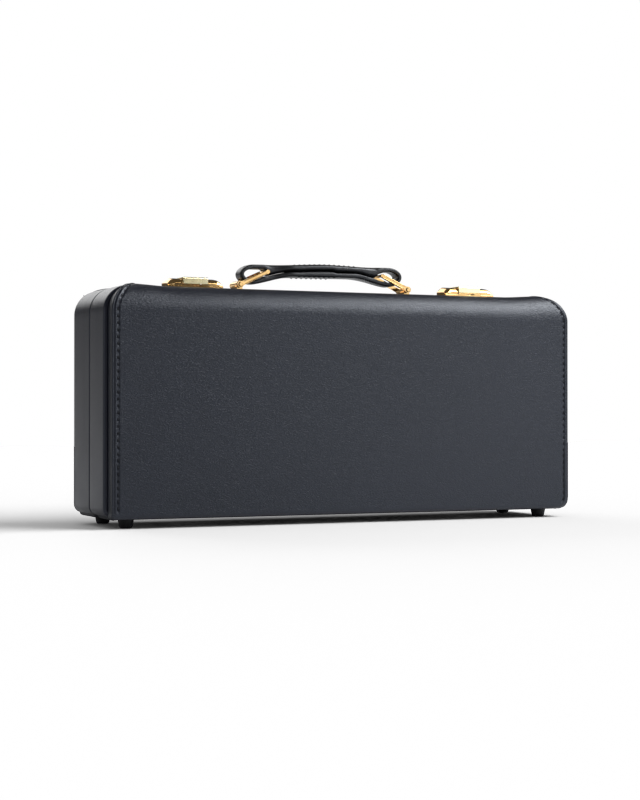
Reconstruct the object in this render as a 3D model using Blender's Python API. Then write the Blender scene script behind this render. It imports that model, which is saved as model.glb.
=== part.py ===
# Clarinet case: a lid and a base hinged along the bottom, with a fitted interior.
# Units are metres. X runs along the case, the lid faces -Y, and Z is up from the floor under the feet.

import math

import bmesh
import bpy
from mathutils import Matrix, Vector

# Driving sizes of the whole case
CASE_LENGTH = 0.400
CASE_DEPTH = 0.100
CASE_TOP = 0.182
LID_DEPTH_SHARE = 0.48
FOOT_HEIGHT = 0.008
GAP = 0.0003
CUT_MARGIN = 0.002

# Outline of the ends, and the bends from the faces to the top and the bottom
TOP_CORNER = 0.025
END_FOOT_RADIUS = 0.007
SHOULDER_RADIUS = 0.020
LID_HEEL_RADIUS = 0.003
BASE_HEEL_RADIUS = 0.012
SPLIT_GAP = 0.0008
SPLIT_ROUND = 0.0018

# Skins and walls
COVER_THICKNESS = 0.003
COVER_SETBACK = 0.003
COVER_EDGE_ROUND = 0.0012
LID_FLANGE = 0.010
BASE_FLANGE = 0.007
BAND_GROOVE = 0.0014
BAND_ROUND = 0.0015
BAND_LIFT = 0.0012
BAND_LIP_ANGLE = -math.pi / 3
WALL = 0.004
PANEL_THICKNESS = 0.0042
PANEL_INSET = 0.0048
PANEL_SETBACK = 0.0018
PANEL_CHAMFER = 0.0016
RIM_DROP = 0.0018
RIM_WIDTH = 0.006
RIM_STOP = 0.004
RIM_TOP_SHARE = 0.25
RIM_PROFILE_SHARES = ((1, 0), (0.8, 0.7), (0.5, 1), (0.2, 0.7))
RIM_END_SHARES = ((0.5, 1), (0.25, 0.7), (0, 0))
RIM_HEEL_SHARES = (0.7, 0.85, 1)

# Interior
FRAME_WALL = 0.0016
FRAME_TONGUE = 0.004
FRAME_DEPTH_SHARE = 0.22
LINING_THICKNESS = 0.003
LINING_RECESS = 0.0064
TRAY_RECESS = 0.0012
TRAY_FLOOR = 0.0032
WELL_RIB = 0.006
WELL_MARGIN = 0.0035

# Instrument sections that the wells hold
BELL_MOUTH = 0.081
BELL_NECK = 0.034
LOWER_JOINT_WIDTH = 0.043
UPPER_JOINT_WIDTH = 0.041
BARREL_WIDTH = 0.036
MOUTHPIECE_WIDTH = 0.037
WELL_LENGTH_SHARES = {"lower": 0.645, "upper": 0.585, "mouthpiece": 0.23, "barrel": 0.175, "bell": 0.275}
JOINT_DEPTH_SHARE = 0.31
ACCESSORY_DEPTH_SHARE = 0.33
BELL_FLARE_SHARES = ((0, 0), (0.35, 0.11), (0.7, 0.51), (0.92, 1), (1, 1))

# Feet and their screws
FOOT_FROM_END = 0.020
LID_FOOT_FROM_FACE = 0.020
BASE_FOOT_FROM_FACE = 0.022
FOOT_TOP_RADIUS = 0.007
FOOT_TIP_RADIUS = 0.0058
FOOT_ROUND = 0.0009
FOOT_ROUND_SHARE = 0.3
FOOT_BORE = 0.0034
FOOT_BORE_DEPTH = 0.0032
SCREW_HEAD_RADIUS = 0.0029
SCREW_HEAD_HEIGHT = 0.0018
SCREW_SHANK_RADIUS = 0.0014
SCREW_CLEARANCE = 0.0004
HEAD_CROWN_SHARE = 0.8
HEAD_RIM_SHARE = 0.4

# Hinges
HINGE_PLACE_SHARE = 0.59
HINGE_LENGTH = 0.040
HINGE_KNUCKLE_RADIUS = 0.0024
HINGE_PIN_RADIUS = 0.0011
HINGE_LEAF_REACH = 0.014
HINGE_LEAF_THICKNESS = 0.0012
HINGE_MIDDLE_SHARE = 0.4

# Latches
LATCH_PLACE_SHARE = 0.3971
LATCH_FRONT = 0.018
STRIKE_HALF = 0.0225
STRIKE_TOP_HALF = 0.0180
STRIKE_FLOOR = 0.0030
STRIKE_SHOULDER = 0.0068
STRIKE_CREST = 0.0081
STRIKE_BACK = 0.0024
HASP_HALF = 0.0100
HASP_TOP = 0.0087
HASP_THICKNESS = 0.0012
HASP_BEND = 0.0010
HASP_SIDE_GAP = 0.0004
LATCH_PIN_SETBACK = 0.0085
LATCH_PIN_HEIGHT = 0.0052
LATCH_PIN_RADIUS = 0.0010
LATCH_KNUCKLE_RADIUS = 0.0022
LATCH_BASE_HALF = 0.0160
LATCH_BASE_DEPTH = 0.0150
LATCH_PLATE_THICKNESS = 0.0011
LATCH_EAR_THICKNESS = 0.0016
LATCH_EAR_ROUND = 0.0026
SPRING_WIDTH = 0.0070
SPRING_THICKNESS = 0.0004
SPRING_SHARES = ((0, 0.7), (0.3, 1), (0.6, 0.6), (1, 0))
SLOT_HALF = 0.0042
SLOT_HEIGHT = 0.0010
SLOT_DEPTH = 0.0026
RIVET_HEAD = 0.0014
RIVET_SHANK = 0.0008
RIVET_HEAD_HEIGHT = 0.0006

# Handle
HANDLE_FROM_SPLIT = 0.013
RING_PIVOT_FROM_MIDDLE = 0.0746
RING_PIVOT_HEIGHT = 0.0062
RING_LENGTH = 0.026
RING_REST_ANGLE = math.radians(24.6)
RING_ARM_SPAN = 0.0165
RING_ARM_WIDTH = 0.0030
RING_ARM_THICKNESS = 0.0018
RING_BAR_RADIUS = 0.0012
RING_EYE_RADIUS = 0.0026
BARREL_RADIUS = 0.0030
NECK_SHARE = 0.8
RING_PIN_RADIUS = 0.0013
RING_PIN_HEAD = 0.0020
RING_PIN_HEAD_HEIGHT = 0.0008
BRACKET_HALF_LENGTH = 0.0100
BRACKET_HALF_WIDTH = 0.0085
BRACKET_THICKNESS = 0.0014
GRIP_HALF_LENGTH = 0.0715
GRIP_TOP = 0.0252
GRIP_UNDERSIDE = 0.0156
GRIP_END_TOP = 0.0215
GRIP_LOOP_BOTTOM = 0.0072
GRIP_LOOP_AT = 0.0600
GRIP_STRAP = 0.0046
GRIP_HALF_WIDTH = 0.0098
GRIP_LOOP_HALF_WIDTH = 0.0065
GRIP_ROUND = 0.0018
GRIP_BEND_SHARE = 1 / 3
GRIP_NARROW_FROM = 0.0260
GRIP_NARROW_OVER = 0.0190
GRIP_LAYER_SHARES = ((-1, 1), (-0.93, 0.3), (-0.8, 0), (0.8, 0), (0.93, 0.3), (1, 1))
EYE_INNER = 0.0475
EYE_OUTER = 0.0668
EYE_TIP_HALF = 0.0017
EYE_HALF = 0.0032
EYE_WIDEN_SHARE = 0.625
EYE_ROUND_FROM_SHARE = 0.8
EYE_ROUND_SHARE = 0.8

# Fineness of round shapes
CORNER_STEPS = 8
FOOT_STEPS = 4
SHOULDER_STEPS = 6
FLANGE_STEPS = 3
HEEL_STEPS = 4
ROUND_STEPS = 3
PIN_SIDES = 12
FOOT_SIDES = 20
WELL_SIDES = 10
GRIP_STEPS = 24
GRIP_END_STEPS = 10
EYE_STEPS = 8
RING_STEPS = 10
TIP_STEPS = 6
BEVEL_SEGMENTS = 2
SHARP_ANGLE = math.radians(35)
BEVEL_ANGLE = math.radians(50)

LID_DEPTH = CASE_DEPTH * LID_DEPTH_SHARE
SPLIT_Y = LID_DEPTH - CASE_DEPTH / 2
HALF_LENGTH = CASE_LENGTH / 2
COVER_HALF = HALF_LENGTH - COVER_SETBACK
CORNER_CENTRE_X = HALF_LENGTH - TOP_CORNER
HINGE_FROM_MIDDLE = HALF_LENGTH * HINGE_PLACE_SHARE
BRACKET_EDGE = RING_PIVOT_FROM_MIDDLE + BRACKET_HALF_LENGTH
LATCH_FROM_MIDDLE = BRACKET_EDGE + (CORNER_CENTRE_X - BRACKET_EDGE) * LATCH_PLACE_SHARE
FRAME_DEPTH = CASE_DEPTH * FRAME_DEPTH_SHARE
JOINT_WELL_DEPTH = CASE_DEPTH * JOINT_DEPTH_SHARE
ACCESSORY_DEPTH = CASE_DEPTH * ACCESSORY_DEPTH_SHARE
PANEL_TOP = FOOT_HEIGHT + PANEL_THICKNESS
SHELL_INSET = COVER_THICKNESS + GAP
INNER_INSET = SHELL_INSET + WALL
FRAME_INSET = INNER_INSET + GAP
TRAY_INSET = FRAME_INSET + FRAME_WALL + GAP
HANDLE_Y = SPLIT_Y + HANDLE_FROM_SPLIT
LID_AXIS = (0, SPLIT_Y, FOOT_HEIGHT)
LID_PIECES = ("lid_", "strike_")
SIDES = (("left", -1), ("right", 1))

FINISHES = {
    "grained_leather": ((0.022, 0.024, 0.030), 0.48, 0.0),
    "smooth_leather": ((0.045, 0.047, 0.056), 0.42, 0.0),
    "handle_leather": ((0.016, 0.016, 0.018), 0.40, 0.0),
    "board": ((0.030, 0.028, 0.028), 0.80, 0.0),
    "plush": ((0.020, 0.022, 0.040), 0.95, 0.0),
    "gold": ((0.86, 0.62, 0.27), 0.16, 1.0),
    "steel": ((0.62, 0.60, 0.56), 0.30, 1.0),
    "rubber": ((0.012, 0.012, 0.013), 0.70, 0.0),
}


class Half:
    """The lid or the base: its outer face, its direction away from the split, and its own bends."""

    def __init__(self, name, outward, flange, heel_radius, foot_from_face):
        self.name = name
        self.outward = outward
        self.flange = flange
        self.heel_radius = heel_radius
        self.foot_from_face = foot_from_face
        self.face_y = outward * CASE_DEPTH / 2
        self.rim_y = SPLIT_Y + outward * SPLIT_GAP / 2
        self.depth = abs(self.face_y - self.rim_y)

    def y_at(self, reach):
        """World Y at a distance inwards from the outer face."""
        return self.face_y - self.outward * reach


LID = Half("lid", -1, LID_FLANGE, LID_HEEL_RADIUS, LID_FOOT_FROM_FACE)
BASE = Half("base", 1, BASE_FLANGE, BASE_HEEL_RADIUS, BASE_FOOT_FROM_FACE)


def clear_scene():
    for item in list(bpy.data.objects):
        bpy.data.objects.remove(item, do_unlink=True)
    for mesh in list(bpy.data.meshes):
        bpy.data.meshes.remove(mesh)


def material(name):
    found = bpy.data.materials.get(name)
    if found:
        return found
    colour, roughness, metallic = FINISHES[name]
    made = bpy.data.materials.new(name)
    made.use_nodes = True
    shader = made.node_tree.nodes["Principled BSDF"]
    shader.inputs["Base Color"].default_value = (*colour, 1.0)
    shader.inputs["Roughness"].default_value = roughness
    shader.inputs["Metallic"].default_value = metallic
    made.diffuse_color = (*colour, 1.0)
    return made


def add_object(name, shape, finish, origin=None, cutter=False):
    """Turn a bmesh in world places into an object whose origin is at the given point."""
    origin = Vector(origin) if origin is not None else Vector((0, 0, 0))
    bmesh.ops.recalc_face_normals(shape, faces=shape.faces)
    bmesh.ops.translate(shape, verts=shape.verts, vec=-origin)
    mesh = bpy.data.meshes.new(name)
    shape.to_mesh(mesh)
    shape.free()
    mesh.shade_smooth()
    mesh.set_sharp_from_angle(angle=SHARP_ANGLE)
    thing = bpy.data.objects.new(name, mesh)
    thing.location = origin
    bpy.context.scene.collection.objects.link(thing)
    if cutter:
        thing.hide_render = True
        thing.display_type = "WIRE"
    else:
        mesh.materials.append(material(finish))
    return thing


def attach(piece, carrier):
    """Let a piece follow another one without moving it now."""
    piece.parent = carrier
    piece.matrix_parent_inverse = Matrix.Translation(-carrier.location)


def boolean(target, tool, operation="DIFFERENCE"):
    if not tool.parent:
        attach(tool, target)
    step = target.modifiers.new(operation.lower(), "BOOLEAN")
    step.operation = operation
    step.object = tool
    step.solver = "EXACT"


def arc(centre_a, centre_b, radius_a, radius_b, start, end, steps):
    """Points along an elliptical arc from start to end, both included."""
    points = []
    for step in range(steps + 1):
        angle = start + (end - start) * step / steps
        points.append((centre_a + radius_a * math.cos(angle), centre_b + radius_b * math.sin(angle)))
    return points


def loft(rings, shape=None):
    """One closed body through rings of equal count, with a face over each end."""
    shape = shape or bmesh.new()
    rows = [[shape.verts.new(point) for point in ring] for ring in rings]
    count = len(rows[0])
    for near, far in zip(rows, rows[1:]):
        for index in range(count):
            after = (index + 1) % count
            shape.faces.new((near[index], near[after], far[after], far[index]))
    shape.faces.new(rows[0])
    shape.faces.new(list(reversed(rows[-1])))
    return shape


def sleeve(rings, shape=None):
    """One closed body round a hole: the rings close on themselves like a tyre."""
    shape = shape or bmesh.new()
    rows = [[shape.verts.new(point) for point in ring] for ring in rings]
    count = len(rows[0])
    for row, near in enumerate(rows):
        far = rows[(row + 1) % len(rows)]
        for index in range(count):
            after = (index + 1) % count
            shape.faces.new((near[index], near[after], far[after], far[index]))
    return shape


def prism(points, axis, start, end, shape=None):
    """Extrude a closed outline along X, Y or Z. Its points hold the other two coordinates in order."""
    def place(a, b, along):
        if axis == "X":
            return (along, a, b)
        if axis == "Y":
            return (a, along, b)
        return (a, b, along)
    return loft([[place(a, b, along) for a, b in points] for along in (start, end)], shape)


def rounded_prism(points, axis, start, end, edge, shape=None):
    """A prism whose two end faces are drawn in along the outline by a small rounded edge."""
    rings = []
    stations = []
    for step in range(ROUND_STEPS + 1):
        angle = math.pi / 2 * step / ROUND_STEPS
        stations.append((edge * (1 - math.sin(angle)), edge * (1 - math.cos(angle))))
    levels = [(inset, start + run) for inset, run in stations]
    levels += [(inset, end - run) for inset, run in reversed(stations)]
    for inset, along in levels:
        rings.append([(a, b, along) for a, b in inset_outline(points, inset)])
    order = {"X": (2, 0, 1), "Y": (0, 2, 1), "Z": (0, 1, 2)}[axis]
    return loft([[tuple(point[k] for k in order) for point in ring] for ring in rings], shape)


def inset_outline(points, inset):
    """Move each point of a closed outline inwards along the mean normal of its two sides."""
    count = len(points)
    area = sum(points[k][0] * points[(k + 1) % count][1] - points[(k + 1) % count][0] * points[k][1]
               for k in range(count))
    turn = 1 if area > 0 else -1
    moved = []
    for k in range(count):
        before = Vector(points[k]) - Vector(points[k - 1])
        after = Vector(points[(k + 1) % count]) - Vector(points[k])
        before.normalize()
        after.normalize()
        normal = Vector((-(before.y + after.y), before.x + after.x)) * turn
        moved.append(tuple(Vector(points[k]) + normal * inset * 2 / normal.length_squared))
    return moved


def box(low, high, shape=None):
    (x0, y0, z0), (x1, y1, z1) = low, high
    return prism(((x0, y0), (x1, y0), (x1, y1), (x0, y1)), "Z", z0, z1, shape)


def cylinder(axis, centre, radius, start, end, sides=PIN_SIDES, shape=None):
    points = arc(centre[0], centre[1], radius, radius, 0, 2 * math.pi, sides)[:-1]
    return prism(points, axis, start, end, shape)


def lathe(profile, centre, sides, shape=None):
    """Turn a closed profile of (radius, height) points about a vertical axis, leaving its bore open."""
    shape = shape or bmesh.new()
    rows = []
    for step in range(sides):
        angle = 2 * math.pi * step / sides
        rows.append([shape.verts.new((centre[0] + radius * math.cos(angle),
                                      centre[1] + radius * math.sin(angle), height))
                     for radius, height in profile])
    for near, far in zip(rows, rows[1:] + rows[:1]):
        for k in range(len(profile)):
            after = (k + 1) % len(profile)
            shape.faces.new((near[k], far[k], far[after], near[after]))
    return shape


# Body sections

def top_height(reach, inset):
    """Height of the top surface at a distance from the outer face, for a skin inset from outside."""
    radius = SHOULDER_RADIUS - inset
    run = min(max(reach - inset, 0), radius)
    return CASE_TOP - inset - radius + math.sqrt(radius ** 2 - (radius - run) ** 2)


def heel_height(half, reach, inset=0):
    """Rise of the underside near the outer face, where the face bends into the bottom."""
    radius = max(half.heel_radius - inset, 0)
    run = min(max(reach, inset), half.heel_radius)
    return half.heel_radius - math.sqrt(max(radius ** 2 - (half.heel_radius - run) ** 2, 0))


def body_outline(half_width, inset, clip, floor):
    """End outline of the case as (x, z) points, cut off level at the height clip."""
    corner_x = half_width - CORNER_CENTRE_X
    corner_z = TOP_CORNER - inset
    centre_z = CASE_TOP - TOP_CORNER
    limit = math.asin(min(max((clip - centre_z) / corner_z, 0), 1))
    foot = max(END_FOOT_RADIUS - inset, END_FOOT_RADIUS / 2)
    right = arc(half_width - foot, floor + foot, foot, foot, -math.pi / 2, 0, FOOT_STEPS)
    right += arc(CORNER_CENTRE_X, centre_z, corner_x, corner_z, 0, limit, CORNER_STEPS)
    left = [(-x, z) for x, z in reversed(right)]
    return right + left


def body_ring(half, reach, half_width, inset, level):
    floor = max(level, FOOT_HEIGHT + heel_height(half, reach, inset))
    outline = body_outline(half_width, inset, top_height(reach, inset), floor)
    return [(x, half.y_at(reach), z) for x, z in outline]


def reaches(half, inset, extra, depth):
    """Stations across the shoulder and heel bends, from the inset face to the given depth."""
    kept = sorted([inset, depth] + list(extra))
    for radius, count in ((SHOULDER_RADIUS, SHOULDER_STEPS), (half.heel_radius, HEEL_STEPS)):
        bend = max(radius - inset, 0)
        for step in range(1, count + 1):
            reach = inset + bend * (1 - math.cos(math.pi / 2 * step / count))
            if reach < depth and all(abs(reach - other) > 2 * GAP for other in kept):
                kept.append(reach)
    return sorted(kept)


def cover_stations(half, inset, strip_depth):
    """Stations of one skin of the cover. Both skins have the same number, so that they pair up."""
    radius = SHOULDER_RADIUS - inset
    turn = math.acos(1 - (half.flange - inset) / radius)
    angles = [turn * step / FLANGE_STEPS for step in range(FLANGE_STEPS)]
    angles += [turn + (math.pi / 2 - turn) * step / SHOULDER_STEPS for step in range(SHOULDER_STEPS + 1)]
    return [inset + radius * (1 - math.cos(angle)) for angle in angles] + [strip_depth]


def cover_body(half, outer_inset, inner_inset, side_offset, strip_depth):
    """Closed skin: the face, its flange all round, and the strip over the top."""
    shape = bmesh.new()
    skins = []
    for inset in (outer_inset, inner_inset):
        rows = []
        for reach in cover_stations(half, inset, strip_depth):
            ring = body_ring(half, reach, COVER_HALF - inset, inset, FOOT_HEIGHT + inset)
            rows.append([shape.verts.new((x + math.copysign(side_offset, x), y, z)) for x, y, z in ring])
        skins.append(rows)
    count = len(skins[0][0])
    top_edge = count // 2 - 1
    for rows in skins:
        shape.faces.new(rows[0])
        for row in range(len(rows) - 1):
            for index in range(count) if row < FLANGE_STEPS else (top_edge,):
                after = (index + 1) % count
                near, far = rows[row], rows[row + 1]
                shape.faces.new((near[index], near[after], far[after], far[index]))
    outer, inner = skins

    def close(first, second):
        shape.faces.new([skin[row][index] for skin, (row, index) in
                         ((outer, first), (outer, second), (inner, second), (inner, first))])

    for index in range(count):
        if index != top_edge:
            close((FLANGE_STEPS, index), (FLANGE_STEPS, (index + 1) % count))
    for row in range(FLANGE_STEPS, len(outer) - 1):
        close((row, top_edge), (row + 1, top_edge))
        close((row, top_edge + 1), (row + 1, top_edge + 1))
    close((len(outer) - 1, top_edge), (len(outer) - 1, top_edge + 1))
    loose = [vert for vert in shape.verts if not vert.link_faces]
    bmesh.ops.delete(shape, geom=loose, context="VERTS")
    return shape


def build_cover(half):
    shape = cover_body(half, 0, COVER_THICKNESS, 0, half.depth)
    cover = add_object(half.name + "_cover", shape, "grained_leather")
    edge = cover.modifiers.new("edge", "BEVEL")
    edge.width = COVER_EDGE_ROUND
    edge.segments = BEVEL_SEGMENTS
    edge.limit_method = "ANGLE"
    edge.angle_limit = BEVEL_ANGLE
    return cover


def build_shell(half):
    """Wooden cup under the skins: its face, four walls and the rim at the split."""
    floor = PANEL_TOP + GAP
    outer = [body_ring(half, reach, COVER_HALF - SHELL_INSET, SHELL_INSET, floor)
             for reach in reaches(half, SHELL_INSET, (), half.depth)]
    inner = [body_ring(half, reach, COVER_HALF - INNER_INSET, INNER_INSET, floor + WALL)
             for reach in reaches(half, INNER_INSET, (), half.depth)]
    shape = loft(outer + list(reversed(inner)))
    return add_object(half.name + "_shell", shape, "board")


def band_ring(half, reach, draw_in, side):
    """Cross-section of the padded end band, from its lower lip round the end to the top corner."""
    centre_z = CASE_TOP - TOP_CORNER
    clip = top_height(reach, 0)
    outer = TOP_CORNER - draw_in
    backing = COVER_THICKNESS - GAP
    inner_x = COVER_HALF - backing - CORNER_CENTRE_X
    inner_z = TOP_CORNER - backing
    limit = math.asin(min((clip - centre_z) / TOP_CORNER, 1))
    inner_limit = math.asin(min((top_height(reach, backing) - centre_z) / inner_z, 1))
    lip = END_FOOT_RADIUS - draw_in
    lip_z = FOOT_HEIGHT + BAND_LIFT + END_FOOT_RADIUS
    path = arc(HALF_LENGTH - END_FOOT_RADIUS, lip_z, lip, lip, BAND_LIP_ANGLE, 0, FOOT_STEPS)
    path += arc(CORNER_CENTRE_X, centre_z, outer, outer, 0, limit, CORNER_STEPS)
    back = arc(CORNER_CENTRE_X, centre_z, inner_x, inner_z, 0, inner_limit, CORNER_STEPS)
    path += list(reversed(back))
    path.append((CORNER_CENTRE_X + inner_x, PANEL_TOP + 2 * GAP))
    return [(side * x, half.y_at(reach), z) for x, z in path]


def build_band(half, label, side):
    start = half.flange + BAND_GROOVE
    end = half.depth
    stations = []
    for step in range(ROUND_STEPS + 1):
        angle = math.pi / 2 * step / ROUND_STEPS
        stations.append((start + BAND_ROUND * (1 - math.cos(angle)), BAND_ROUND * (1 - math.sin(angle))))
    middle_from = stations[-1][0]
    middle = [(reach, 0) for reach in reaches(half, 0, (), end - SPLIT_ROUND)
              if reach > middle_from + GAP]
    stations += middle
    for step in range(1, ROUND_STEPS + 1):
        angle = math.pi / 2 * step / ROUND_STEPS
        stations.append((end - SPLIT_ROUND * (1 - math.sin(angle)), SPLIT_ROUND * (1 - math.cos(angle))))
    shape = loft([band_ring(half, reach, draw_in, side) for reach, draw_in in stations])
    band = add_object("%s_band_%s" % (half.name, label), shape, "smooth_leather")
    boolean(band, bpy.data.objects["cut_%s_cover" % half.name])
    return band


def panel_outline(drop, rise):
    """Underside panel as (x, z) points: flat between two low rims along the ends of the case."""
    half_width = HALF_LENGTH - PANEL_INSET
    level = FOOT_HEIGHT + rise
    right = [(half_width - RIM_WIDTH * across, level - drop * down) for across, down in RIM_PROFILE_SHARES]
    right += [(half_width, level + PANEL_THICKNESS * RIM_TOP_SHARE), (half_width - PANEL_CHAMFER, PANEL_TOP)]
    return right + [(-x, z) for x, z in reversed(right)]


def build_panel(half):
    """Bottom panel behind the cover's flange, with sockets for the foot screws and the hinges."""
    start = half.flange + PANEL_SETBACK
    end = half.depth
    rim_end = end - RIM_STOP
    stations = [(start, RIM_DROP)]
    stations += [(half.heel_radius * share, RIM_DROP) for share in RIM_HEEL_SHARES
                 if half.heel_radius * share > start + GAP]
    stations += [(rim_end - RIM_STOP * back, RIM_DROP * down) for back, down in RIM_END_SHARES]
    stations.append((end, 0))
    rings = [[(x, half.y_at(reach), z) for x, z in panel_outline(drop, heel_height(half, reach))]
             for reach, drop in stations]
    panel = add_object(half.name + "_bottom_panel", loft(rings), "grained_leather")
    boolean(panel, bpy.data.objects["cut_%s_hinges" % half.name])
    boolean(panel, bpy.data.objects["cut_%s_screws" % half.name])
    return panel


def foot_places(half):
    return [(side * (HALF_LENGTH - FOOT_FROM_END), half.y_at(half.foot_from_face)) for _, side in SIDES]


def build_feet(half):
    """Two rubber feet with a sunk screw each. The screw reaches into the bottom panel."""
    bore = SCREW_SHANK_RADIUS + SCREW_CLEARANCE
    top = FOOT_HEIGHT - GAP
    head_from = FOOT_BORE_DEPTH - GAP - SCREW_HEAD_HEIGHT
    ease_off = FOOT_ROUND * FOOT_ROUND_SHARE
    profile = [(bore, top), (FOOT_TOP_RADIUS, top), (FOOT_TIP_RADIUS + ease_off, FOOT_ROUND),
               (FOOT_TIP_RADIUS - ease_off, ease_off),
               (FOOT_TIP_RADIUS - FOOT_ROUND, 0), (FOOT_BORE, 0), (FOOT_BORE, FOOT_BORE_DEPTH),
               (bore, FOOT_BORE_DEPTH)]
    for (label, _), place in zip(SIDES, foot_places(half)):
        add_object("%s_foot_%s" % (half.name, label), lathe(profile, place, FOOT_SIDES), "rubber")
        add_fastener("%s_foot_screw_%s" % (half.name, label), place, SCREW_HEAD_RADIUS, SCREW_SHANK_RADIUS,
                     (head_from, head_from + SCREW_HEAD_HEIGHT, PANEL_TOP - GAP), "steel")


def add_fastener(name, place, head_radius, shank_radius, levels, finish):
    """Headed fastener along Z as one closed body. The levels are its crown, the head's seat and the tip."""
    crown, seat, tip = levels
    steps = [(head_radius * HEAD_CROWN_SHARE, crown),
             (head_radius, crown + (seat - crown) * HEAD_RIM_SHARE),
             (head_radius, seat), (shank_radius, seat), (shank_radius, tip)]
    rings = [[(place[0] + x, place[1] + y, height)
              for x, y in arc(0, 0, radius, radius, 0, 2 * math.pi, PIN_SIDES)[:-1]]
             for radius, height in steps]
    add_object(name, loft(rings), finish)


# Hinges

def hinge_spans():
    """X ranges of the two outer knuckles and the middle one, relative to the hinge's centre."""
    middle = HINGE_LENGTH * HINGE_MIDDLE_SHARE / 2
    outer = HINGE_LENGTH / 2
    return {"lid": [(-middle, middle)], "base": [(-outer, -middle - GAP), (middle + GAP, outer)]}


def panel_cutters(half):
    """Cutters for the bottom panel: a pocket along each hinge and a hole for each foot screw."""
    clear = HINGE_KNUCKLE_RADIUS + SCREW_CLEARANCE
    pockets = bmesh.new()
    for _, side in SIDES:
        centre = side * HINGE_FROM_MIDDLE
        reach = HINGE_LENGTH / 2 + SCREW_CLEARANCE
        box((centre - reach, SPLIT_Y - clear, FOOT_HEIGHT - CUT_MARGIN),
            (centre + reach, SPLIT_Y + clear, FOOT_HEIGHT + clear), pockets)
    add_object("cut_%s_hinges" % half.name, pockets, None, cutter=True)
    holes = bmesh.new()
    for place in foot_places(half):
        cylinder("Z", place, SCREW_SHANK_RADIUS + SCREW_CLEARANCE, FOOT_HEIGHT - CUT_MARGIN,
                 PANEL_TOP + CUT_MARGIN, PIN_SIDES, holes)
    add_object("cut_%s_screws" % half.name, holes, None, cutter=True)


def build_hinge_leaf(half, label, side):
    """Flat leaf under the bottom panel with its rolled knuckles."""
    centre = side * HINGE_FROM_MIDDLE
    top = FOOT_HEIGHT - GAP
    low = top - HINGE_LEAF_THICKNESS
    clear = HINGE_KNUCKLE_RADIUS + SCREW_CLEARANCE
    wall = (HINGE_KNUCKLE_RADIUS + HINGE_PIN_RADIUS + GAP) / 2
    near, far = sorted((SPLIT_Y + half.outward * clear, SPLIT_Y + half.outward * HINGE_LEAF_REACH))
    name = "%s_hinge_leaf_%s" % (half.name, label)
    axis = (centre, SPLIT_Y, FOOT_HEIGHT)
    plate = box((centre - HINGE_LENGTH / 2, near, low), (centre + HINGE_LENGTH / 2, far, top))
    leaf = add_object(name, plate, "steel", axis)
    rolls = bmesh.new()
    tabs = bmesh.new()
    for start, end in hinge_spans()[half.name]:
        cylinder("X", (SPLIT_Y, FOOT_HEIGHT), HINGE_KNUCKLE_RADIUS, centre + start, centre + end,
                 PIN_SIDES, rolls)
        inner, outer = sorted((SPLIT_Y + half.outward * wall,
                               SPLIT_Y + half.outward * (clear + HINGE_LEAF_THICKNESS)))
        box((centre + start, inner, low), (centre + end, outer, top), tabs)
    bore = cylinder("X", (SPLIT_Y, FOOT_HEIGHT), HINGE_PIN_RADIUS + GAP,
                    centre - HINGE_LENGTH, centre + HINGE_LENGTH)
    boolean(leaf, add_object("cut_%s_tabs" % name, tabs, None, cutter=True), "UNION")
    boolean(leaf, add_object("cut_%s_rolls" % name, rolls, None, cutter=True), "UNION")
    boolean(leaf, add_object("cut_%s_bore" % name, bore, None, cutter=True))


def build_hinges():
    for label, side in SIDES:
        centre = side * HINGE_FROM_MIDDLE
        build_hinge_leaf(LID, label, side)
        build_hinge_leaf(BASE, label, side)
        pin = cylinder("X", (SPLIT_Y, FOOT_HEIGHT), HINGE_PIN_RADIUS, centre - HINGE_LENGTH / 2,
                       centre + HINGE_LENGTH / 2)
        add_object("hinge_pin_" + label, pin, "steel")


# Interior

def build_inner_frame():
    """Thin frame inside the base walls. Its edge stands past the split and locates the lid."""
    floor = PANEL_TOP + GAP + WALL + GAP
    near = BASE.depth + SPLIT_GAP + FRAME_TONGUE
    far = BASE.depth - FRAME_DEPTH
    outer = body_ring(BASE, near, COVER_HALF - FRAME_INSET, FRAME_INSET, floor)
    inner = body_ring(BASE, near, COVER_HALF - FRAME_INSET - FRAME_WALL, FRAME_INSET + FRAME_WALL,
                      floor + FRAME_WALL)
    rings = [[(x, BASE.y_at(reach), z) for x, _, z in ring]
             for ring, reach in ((outer, far), (outer, near), (inner, near), (inner, far))]
    add_object("base_inner_frame", sleeve(rings), "plush")


def u_channel(centre_z, width, depth, face_y, x0, x1, shape):
    """Cutter for a round-bottomed trough that opens towards the lid."""
    radius = width / 2
    floor_y = face_y + depth
    points = [(face_y - CUT_MARGIN, centre_z - radius)]
    points += arc(floor_y - radius, centre_z, radius, radius, -math.pi / 2, math.pi / 2, WELL_SIDES)
    points.append((face_y - CUT_MARGIN, centre_z + radius))
    prism(points, "X", x0, x1, shape)


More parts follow.
